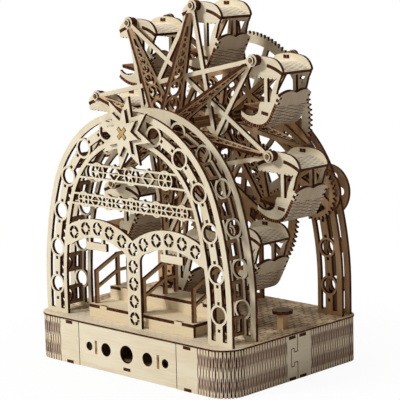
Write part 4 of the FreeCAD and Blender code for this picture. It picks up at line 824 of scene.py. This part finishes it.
# %% Bent sheet
def bent_sheet(name, runs, heights, keep, slits, lay, hinge=(0, 0)):
    """A sheet cut flat, thickened inward and laid along its path. hinge: where its slits are."""
    runs = sorted(set(round(run, 6) for run in runs))
    mesh = flat_sheet(runs, heights, keep)
    cut_slits(mesh, slits, heights[0], heights[-1])
    texture = mesh.loops.layers.uv.new("sheet")
    shift = random_shift()
    outer = list(mesh.faces)
    for face in outer:
        lay_texture(face, texture, shift, Vector((1, 0, 0)), Vector((0, 1, 0)))
    made = bmesh.ops.extrude_face_region(mesh, geom=outer, use_keep_orig=True)["geom"]
    inner = [item for item in made if isinstance(item, bmesh.types.BMFace)]
    inner_verts = [item for item in made if isinstance(item, bmesh.types.BMVert)]
    bmesh.ops.translate(mesh, verts=inner_verts, vec=(0, 0, PLY))

    flat_faces = {*outer, *inner}
    for face in mesh.faces:
        in_hinge = hinge[0] < face.calc_center_median().x < hinge[1]
        if face not in flat_faces:
            face.material_index = RIM if in_hinge else EDGE
            lay_texture(face, texture, shift, Vector((1, 1, 0)), Vector((0, 0, 1)))
        else:
            face.material_index = HINGE if in_hinge else FACE
    for face in inner:
        face.material_index = INSIDE
    for vert in mesh.verts:
        vert.co = lay(*vert.co)
    bmesh.ops.recalc_face_normals(mesh, faces=mesh.faces)
    return finished(mesh, name)


# %% [markdown]
# ## The base walls
# Each wall starts beside the drawer or at the back, turns a corner and ends at the puzzle seam
# in the side. The slits gape most where the bend is tightest and are a saw line wide elsewhere.
# Between the slits the strips twist, and where they twist most their tilted faces turn from the
# light: two darker bands of painted shade.

# %% Wall measures
WALL_HEIGHT = 41 * MM
HALF_WIDTH, FRONT_Y, REAR_Y, SEAM_Y = 122.4 * MM, -94.9 * MM, 84.0 * MM, -3.6 * MM
FRONT_GAP_X = 62.8 * MM
FRONT_CORNER, REAR_CORNER = 20 * MM, 14 * MM
KERF, BEND_KERF, BEND_MARGIN = 0.95 * MM, 1.4 * MM, 2 * MM
SLIT_PITCH, SEAM_GAP = 1.7 * MM, 0.8 * MM
BEND_STEP, WALL_STEP = 1.2 * MM, 2.1 * MM
TAB_HALF, TAB_LEVELS = 4.5 * MM, ((0, 3 * MM), (37.3 * MM, 40.3 * MM))
FRONT_TAB_X, SEAM_TAB = 75.5 * MM, 7 * MM
HINGE_X, FRONT_PLAIN, REAR_PLAIN = 88 * MM, 14.5 * MM, 18.5 * MM
PUZZLE_NECK, PUZZLE_HEAD, PUZZLE_REACH, HEAD_SHARE = 4.8 * MM, 8 * MM, 8.4 * MM, 0.55
WALL_ROWS = (
    ((0, 0.26), (0.31, 0.69), (0.74, 1)),
    ((0.10, 0.45), (0.55, 0.90)),
)


def corner_path(start, heading, before, radius):
    """Place and outward normal along a straight, a quarter turn and another straight."""
    side = Vector((heading.y, -heading.x))
    turn = radius * math.pi / 2
    centre = start + heading * before - side * radius

    def at(run):
        if run <= before:
            return start + heading * run, side
        angle = min((run - before) / turn, 1) * math.pi / 2
        normal = side * math.cos(angle) + heading * math.sin(angle)
        rest = max(0, run - before - turn)
        return centre + normal * radius - side * rest, normal
    return at


# %% Painted shade on the twisted strips
def hinge_finish(name):
    """Birch between the slits, with painted shade in two bands where the strips twist most."""
    finish = Finish(name)
    pale, fibres = birch(finish, finish.place["UV"], X, (0.85, 0.72, 0.56), (0.75, 0.60, 0.43))
    height = finish.part(finish.place["Object"], Z)
    wave = finish.math("COSINE", finish.math("MULTIPLY", height, 4 * math.pi / WALL_HEIGHT))
    # painted shade: two bands along the height, where the twisted strips turn from the light
    twist_shade = finish.math("MULTIPLY", finish.between(wave, 0.3, -0.6), 0.75)
    return finish.paint(finish.mix(twist_shade, pale, (0.40, 0.275, 0.215)), fibres)


hinge_sheet = hinge_finish("birch_hinge")


# %% [markdown]
# The walls of a side meet like two pieces of a puzzle: the rear wall has a key with a neck and a
# wider head, and the front wall has the keyhole. One function tells for both whether a cell of
# the grid belongs to the wall, with half of the seam's gap taken off each.

# %% Puzzle seam
def puzzle_seam(length, seam_first):
    """Whether a cell belongs to the wall, and the runs and heights of the seam's outline."""
    seam, gap = (0, SEAM_GAP / 2) if seam_first else (length, -SEAM_GAP / 2)
    head_run = seam - PUZZLE_REACH * HEAD_SHARE - gap
    tip_run, root_run = seam - PUZZLE_REACH + gap, seam + gap
    neck, head = PUZZLE_NECK - gap, PUZZLE_HEAD - gap
    middle = WALL_HEIGHT / 2

    def in_key(run, height):
        away = abs(height - middle)
        return (away < neck and tip_run < run) or (away < head and tip_run < run < head_run)

    def belongs(run, height):
        if seam_first:
            return run > root_run or in_key(run, height)
        return run < root_run and not in_key(run, height)

    heights = [middle + away for away in (-head, -neck, neck, head)]
    return belongs, [tip_run, head_run, root_run], heights


# %% One wall
def base_wall(name, start, heading, before, radius, length, tabs, hinge, seam_first, side):
    """tabs: runs of the tab slots' middles, hinge: first and last slit."""
    at = corner_path(start, heading, before, radius)
    bend_end = before + radius * math.pi / 2
    belongs, seam_runs, seam_heights = puzzle_seam(length, seam_first)

    def opening(run):
        bent = before - BEND_MARGIN < run < bend_end + BEND_MARGIN
        return BEND_KERF if bent else KERF

    def keep(run, height):
        beside = any(abs(run - tab) < TAB_HALF for tab in tabs)
        level_with = any(low < height < high for low, high in TAB_LEVELS)
        return belongs(run, height) and not (beside and level_with)

    def lay(run, height, depth):
        place, normal = at(run)
        spot = place - normal * depth
        return Vector((spot.x * side, spot.y, height))

    slits = staggered(*hinge, SLIT_PITCH, 0, WALL_HEIGHT, WALL_ROWS, opening)
    runs = [*slits, *spread(before, bend_end, BEND_STEP)[::2], *seam_runs, length]
    runs += [tab + half for tab in tabs for half in (-TAB_HALF, TAB_HALF)]
    runs += [] if seam_first else [0]
    ends = [0, WALL_HEIGHT, *seam_heights, *(level for pair in TAB_LEVELS for level in pair)]
    heights = levels(ends + row_ends(WALL_ROWS, 0, WALL_HEIGHT), WALL_STEP)
    data = bent_sheet(name, runs, heights, keep, slits, lay, hinge)
    # the walls' inner faces get the dark birch that paints the shade inside the base
    finishes = (birch_sheet, birch_cut, shaded_inner_sheet, hinge_sheet, birch_cut)
    return add_piece(name + "_hinge", data, name, finishes)


# %% Front walls and rear walls
def front_wall(label, side):
    before = HALF_WIDTH - FRONT_CORNER - FRONT_GAP_X
    length = before + FRONT_CORNER * math.pi / 2 + (SEAM_Y - FRONT_Y - FRONT_CORNER)
    tabs = (FRONT_TAB_X - FRONT_GAP_X, length - SEAM_TAB)
    hinge = (HINGE_X - FRONT_GAP_X, length - FRONT_PLAIN)
    start, heading = Vector((FRONT_GAP_X, FRONT_Y)), Vector((1, 0))
    name = f"front_{label}_wall"
    return base_wall(
        name, start, heading, before, FRONT_CORNER, length, tabs, hinge, False, side)


def rear_wall(label, side):
    before = REAR_Y - REAR_CORNER - SEAM_Y
    length = before + REAR_CORNER * math.pi / 2 + HALF_WIDTH - REAR_CORNER
    tabs, hinge = (SEAM_TAB, length - FRONT_TAB_X), (REAR_PLAIN, length - HINGE_X)
    start, heading = Vector((HALF_WIDTH, SEAM_Y)), Vector((0, 1))
    name = f"rear_{label}_wall"
    return base_wall(name, start, heading, before, REAR_CORNER, length, tabs, hinge, True, side)


walls = []
for label, side in (("right", 1), ("left", -1)):
    walls += [front_wall(label, side), rear_wall(label, side)]
print("faces of the base walls:", [len(wall.data.polygons) for wall in walls])

# %% [markdown]
# ## Gondola roofs and seats
# The roof of a gondola is a hinge sheet, and so is its seat: one sheet wraps around the side
# plates' lower edge, where its strip ends show as a row of teeth, and goes on behind the seat as
# a cloud-shaped backrest without slits. The path of the seat sheet has three parts, a flat arc,
# a tight arc and a straight, all met at a tangent. The grid of the backrest is stretched along
# the path until its last row follows the cloud, so the cloud's edge is smooth.

# %% Gondola measures
GONDOLA_HALF = 20.5 * MM
INNER_HALF = GONDOLA_HALF - PLY
ROOF_X, ROOF_Z, ROOF_RADIUS = 2.5 * MM, -51.1 * MM, 48.8 * MM
ROOF_FRONT, ROOF_BACK, ROOF_TAB_GAP = math.radians(-27.4), math.radians(31.6), 8.05 * MM
ROOF_MARGIN, TAB_MARGIN, ROOF_PITCH, ROOF_KERF = 1.6 * MM, 1.5 * MM, 2.0 * MM, 0.5 * MM
KEEL_FIT = 3.05 * MM
KEEL_PARTS = (
    (32.8 * MM + KEEL_FIT, -23.2 * MM, math.radians(38)),
    (14.0 * MM + KEEL_FIT, -42.0 * MM, math.radians(62)),
)
STRAIGHT_START = sum(radius * turn for radius, centre_z, turn in KEEL_PARTS)
RIBS_START, RIBS_END, RIB_PITCH = 1.1 * MM, STRAIGHT_START + 11.3 * MM, 1.75 * MM
BENT_KERF, STRAIGHT_KERF = 0.95 * MM, 0.75 * MM
CLOUD_START = STRAIGHT_START + 21.3 * MM
CLOUD_DIP, CLOUD_HUMP, CLOUD_SIDE = 23.75 * MM, 26.3 * MM, 22.7 * MM
TEETH = ((13.7 * MM, 15.95 * MM), (18.8 * MM, 21.05 * MM))
TEETH_HALF = INNER_HALF - 0.05 * MM
ROOF_ROWS = (
    ((0.06, 0.32), (0.38, 0.62), (0.68, 0.94)),
    ((0.02, 0.17), (0.23, 0.47), (0.53, 0.77), (0.83, 0.98)),
)
SHELL_ROWS = (
    ((0, 0.30), (0.36, 0.64), (0.70, 1)),
    ((0.05, 0.47), (0.53, 0.95)),
)


def keel_at(run):
    """Place on the outside of the seat sheet (x, z) and its outward normal."""
    (first, first_z, first_turn), (second, second_z, second_turn) = KEEL_PARTS
    if run < first * first_turn:
        angle, radius, height = run / first - first_turn, first, first_z
    else:
        angle = min((run - first * first_turn) / second, second_turn)
        radius, height = second, second_z
    normal = Vector((math.sin(angle), -math.cos(angle)))
    heading = Vector((math.cos(angle), math.sin(angle)))
    rest = max(0, run - STRAIGHT_START)
    return Vector((0, height)) + normal * radius + heading * rest, normal


def cloud_top(along):
    """How far up the straight the backrest reaches at a given place across the gondola."""
    share = abs(along) / GONDOLA_HALF
    bend = 2 * (CLOUD_DIP + CLOUD_SIDE) - 4 * CLOUD_HUMP
    return CLOUD_DIP + (CLOUD_SIDE - CLOUD_DIP - bend) * share + bend * share * share


# %% Gondola finishes
RIM_PITCH = 2.4 * MM


def rim_finish(name):
    """The rim of the seat sheet: the ends of its strips are paler than the slits between."""
    finish = Finish(name)
    run = finish.part(finish.place["UV"], X)
    wave = finish.math("COSINE", finish.math("MULTIPLY", run, 2 * math.pi / RIM_PITCH))
    burnt = burnt_edge(finish, finish.place["UV"], Y)
    return finish.paint(finish.mix(finish.between(wave, 0.1, 0.9), burnt, (0.38, 0.16, 0.065)))


roof_sheet = sheet_finish("birch_roof", (0.86, 0.79, 0.65), (0.76, 0.66, 0.50))
# painted shade: the seat sheet's outside and backrest face away from the key lamp, so they get
# darker birch than the roof
shaded_shell_sheet = sheet_finish("birch_shell", (0.60, 0.51, 0.40), (0.47, 0.37, 0.26))
# painted shade: the inside of the seat sheet and the seat boards get deep brown for the shade
# inside the gondola
shaded_seat_sheet = sheet_finish("birch_seat_painted_shade", (0.42, 0.25, 0.12), (0.30, 0.16, 0.07))
shell_rim = rim_finish("birch_shell_rim")


# %% Gondola roof
def gondola_roof(number, pivot):
    first, last = ROOF_FRONT * ROOF_RADIUS, ROOF_BACK * ROOF_RADIUS
    halves = (
        (first + ROOF_MARGIN, -ROOF_TAB_GAP - TAB_MARGIN),
        (ROOF_TAB_GAP + TAB_MARGIN, last - ROOF_MARGIN),
    )
    slits = {}
    for start, end in halves:
        slits.update(staggered(
            start, end, ROOF_PITCH, -INNER_HALF, INNER_HALF, ROOF_ROWS, lambda run: ROOF_KERF))

    def keep(run, along):
        return abs(along) < INNER_HALF or abs(run) > ROOF_TAB_GAP

    def lay(run, along, depth):
        angle = run / ROOF_RADIUS
        radius = ROOF_RADIUS - depth
        x, z = ROOF_X + math.sin(angle) * radius, ROOF_Z + math.cos(angle) * radius
        return pivot + Vector((x, along, z))

    runs = [*slits, first, last, *spread(-ROOF_TAB_GAP, ROOF_TAB_GAP, 2 * MM)]
    ends = [-GONDOLA_HALF, -INNER_HALF, INNER_HALF, GONDOLA_HALF]
    ends += row_ends(ROOF_ROWS, -INNER_HALF, INNER_HALF)
    name = f"gondola_{number}_roof"
    data = bent_sheet(name, runs, levels(ends, 2 * MM), keep, slits, lay)
    return add_piece(name, data, f"gondola_{number}_seat", (roof_sheet, birch_cut, roof_sheet))


# %% Gondola seat sheet
def gondola_shell(number, pivot):
    slits = staggered(
        RIBS_START, RIBS_END, RIB_PITCH, -GONDOLA_HALF, GONDOLA_HALF, SHELL_ROWS,
        lambda run: BENT_KERF if run < STRAIGHT_START else STRAIGHT_KERF)
    top = STRAIGHT_START + CLOUD_DIP

    def keep(run, along):
        level_with = any(low < run - STRAIGHT_START < high for low, high in TEETH)
        return not (abs(along) > TEETH_HALF and level_with)

    def lay(run, along, depth):
        if run > CLOUD_START:
            share = (run - CLOUD_START) / (top - CLOUD_START)
            run = CLOUD_START + share * (STRAIGHT_START + cloud_top(along) - CLOUD_START)
        place, normal = keel_at(run)
        place = place - normal * depth
        return pivot + Vector((place.x, along, place.y))

    runs = [*slits, 0, *spread(CLOUD_START, top, 1.2 * MM)]
    runs += [STRAIGHT_START + end for tooth in TEETH for end in tooth]
    ends = [-GONDOLA_HALF, -TEETH_HALF, 0, TEETH_HALF, GONDOLA_HALF]
    ends += row_ends(SHELL_ROWS, -GONDOLA_HALF, GONDOLA_HALF)
    name = f"gondola_{number}_shell"
    ribs = (0, RIBS_END + 2 * MM)
    data = bent_sheet(name, runs, levels(ends, 1.3 * MM), keep, slits, lay, ribs)
    # the seat sheet's inside gets the deep brown that paints the shade in the gondola
    finishes = (shaded_shell_sheet, birch_cut, shaded_seat_sheet, shaded_shell_sheet, shell_rim)
    return add_piece(name, data, f"gondola_{number}_seat", finishes)


# %% [markdown]
# Two square keys beside each other lock the side plates at the pivot, and their burnt ends show
# on the plates' inner faces. Small boxes that stand a little out of the plate are enough.

# %% Keys in the gondola's plates
KEY_X, KEY_Z, KEY_SIZE = 2 * MM, 0.2 * MM, (2.6 * MM, 0.8 * MM, 3.2 * MM)
burnt_end = cut_finish("birch_burnt_end")


def gondola_keys(number, pivot):
    mesh = bmesh.new()
    for side in (-1, 1):
        for x in (-KEY_X, KEY_X):
            away = Vector((x, side * (INNER_HALF + 0.1 * MM), KEY_Z))
            matrix = Matrix.Translation(pivot + away) @ Matrix.Diagonal((*KEY_SIZE, 1))
            bmesh.ops.create_cube(mesh, size=1, matrix=matrix)
    name = f"gondola_{number}_keys"
    data = finished(mesh, name)
    return add_piece(name, data, f"gondola_{number}_sides", (burnt_end,), instead=False)


# %% Eight gondolas
PIVOT_RADIUS, PIVOT_PHASE = 109.4 * MM, -10.6
WHEEL_Y, AXLE_Z = 6.7 * MM, 218.7 * MM


def pivot_at(number):
    """Middle of a gondola's pins, for gondola 1 to 8."""
    angle = math.radians(PIVOT_PHASE + 45 * (number - 1))
    x, z = PIVOT_RADIUS * math.cos(angle), PIVOT_RADIUS * math.sin(angle)
    return Vector((x, WHEEL_Y, AXLE_Z + z))


for number in range(1, 9):
    node = f"gondola_{number}_seat"
    boards = board_copy(node, flat_only=True)
    # the seat boards get the deep brown that paints the shade inside the gondola
    add_piece(f"gondola_{number}_boards", boards, node, (shaded_seat_sheet, birch_cut))
    roof = gondola_roof(number, pivot_at(number))
    shell = gondola_shell(number, pivot_at(number))
    gondola_keys(number, pivot_at(number))
print("faces of a roof and a seat:", len(roof.data.polygons), len(shell.data.polygons))

# %% [markdown]
# ## Pivots: rings and collars
# Outside each star frame a small pale ring holds a gondola's pin, and between the frame and the
# gondola a darker collar keeps the distance. A ring could be cut from a disc with a Boolean, but
# spinning one small rectangle around the pin's axis gives the same solid with far fewer faces.

# %% Rings and collars
FRAME_OUTSIDE, FRAME_INSIDE, GONDOLA_SIDE = 28.2 * MM, 25.15 * MM, 20.85 * MM
PIN_BORE = 2.4 * MM
RING_RADIUS, RING_THICKNESS, COLLAR_RADIUS = 3.5 * MM, 2.0 * MM, 4.7 * MM


def spun_ring(mesh, centre, inner, outer, start, end):
    """A flat ring around an axle along Y."""
    corners = ((inner, start), (outer, start), (outer, end), (inner, end))
    verts = [mesh.verts.new(centre + Vector((radius, y, 0))) for radius, y in corners]
    edges = [mesh.edges.new((verts[index], verts[index - 1])) for index in range(4)]
    bmesh.ops.spin(
        mesh, geom=verts + edges, cent=centre, axis=(0, 1, 0), angle=2 * math.pi, steps=32,
        use_merge=True)


def pivot_rings(name, radius, start, end, material):
    """Sixteen equal rings, one beside each end of the eight pivots."""
    mesh = bmesh.new()
    for number in range(1, 9):
        for side in (-1, 1):
            spun_ring(mesh, pivot_at(number), PIN_BORE, radius, side * start, side * end)
    bmesh.ops.recalc_face_normals(mesh, faces=mesh.faces)
    return add_piece(name, finished(mesh, name), "pin_clips", (material,))


ring_end = FRAME_OUTSIDE + RING_THICKNESS
rings = pivot_rings("pin_rings", RING_RADIUS, FRAME_OUTSIDE, ring_end, level_birch)
collars = pivot_rings("pin_collars", COLLAR_RADIUS, GONDOLA_SIDE, FRAME_INSIDE, clip_birch)
print("faces of rings and collars:", len(rings.data.polygons), len(collars.data.polygons))

# %% [markdown]
# ## The star's second layer
# A smaller star lies on the big one, and two crossed wedges lock both on the axle. Each star
# plate is one face with sixteen corners, extruded to the thickness of the sheet. The wedges and
# the slots around them are so thin that two faces would flicker at the same depth, so each
# outline lies a little in front of the one before.

# %% Small star and wedges
SMALL_TIP, SMALL_CORNER = 21.0 * MM, 11.0 * MM
SMALL_FRONT = -89.3 * MM - PLY
WEDGE_LENGTH, WEDGE_WIDTH, WEDGE_PLAY = 12.0 * MM, 2.8 * MM, 1.2 * MM
SLOTS_PROUD, SLOTS_DEPTH, WEDGES_PROUD, WEDGES_DEPTH = 0.1 * MM, 0.2 * MM, 0.4 * MM, 0.6 * MM
APART = 0.05 * MM


def star_outline(tip, corner):
    for index in range(8):
        for reach, turn in ((tip, 0), (corner, 22.5)):
            angle = math.radians(PIVOT_PHASE + 45 * index + turn)
            yield reach * math.cos(angle), reach * math.sin(angle)


def cross_outlines(length, width):
    """Two slim rectangles that cross at the axle."""
    for degrees in (45, 135):
        turn = Matrix.Rotation(math.radians(degrees), 2)
        corners = ((-1, -1), (1, -1), (1, 1), (-1, 1))
        yield [turn @ Vector((x * length / 2, z * width / 2)) for x, z in corners]


def plate_piece(name, outlines, front, depth, material):
    """Plates lying across the axle: outlines around the axle, extruded backwards."""
    mesh = bmesh.new()
    for step, outline in enumerate(outlines):
        y = front - step * APART
        face = mesh.faces.new([mesh.verts.new((x, y, AXLE_Z + z)) for x, z in outline])
        made = bmesh.ops.extrude_face_region(mesh, geom=[face], use_keep_orig=True)["geom"]
        moved = [item for item in made if isinstance(item, bmesh.types.BMVert)]
        bmesh.ops.translate(mesh, verts=moved, vec=(0, depth, 0))
    bmesh.ops.recalc_face_normals(mesh, faces=mesh.faces)
    bmesh.ops.triangulate(mesh, faces=mesh.faces)
    return add_piece(name, finished(mesh, name), "star", (material,), instead=False)


# the dark plates of the slots round the wedges: partly the burnt char of their walls, partly
# painted shade in the narrow gaps
slot_char_and_shade = plate_finish("birch_wedge_slot_char_and_shade", Y, X, CHAR, BURNT)
wedge_birch = plate_finish("birch_wedge", Y, X, (0.60, 0.42, 0.17), (0.42, 0.27, 0.10))
slots = cross_outlines(WEDGE_LENGTH + WEDGE_PLAY, WEDGE_WIDTH + WEDGE_PLAY)
wedges = cross_outlines(WEDGE_LENGTH, WEDGE_WIDTH)
plate_piece("small_star", [star_outline(SMALL_TIP, SMALL_CORNER)], SMALL_FRONT, PLY, level_birch)
plate_piece("wedge_slots", slots, SMALL_FRONT - SLOTS_PROUD, SLOTS_DEPTH, slot_char_and_shade)
plate_piece("wedges", wedges, SMALL_FRONT - WEDGES_PROUD, WEDGES_DEPTH, wedge_birch)
print("small star's tips reach", SMALL_TIP)

# %% [markdown]
# ## The end
# The nodes that are shown without a finish of their own are printed. The size of the visual model
# is given beside the CAD model's, to compare the two.

# %% Finish
shown = [name for name, obj in nodes.items() if not obj.hide_render]
unfinished = [name for name in shown if name not in dressed]
print("nodes shown:", len(shown), "of them without a finish of their own:", unfinished)
boxes = {"cad": cad_box, "visual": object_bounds()}
{name: [list(corner) for corner in box] for name, box in boxes.items()}
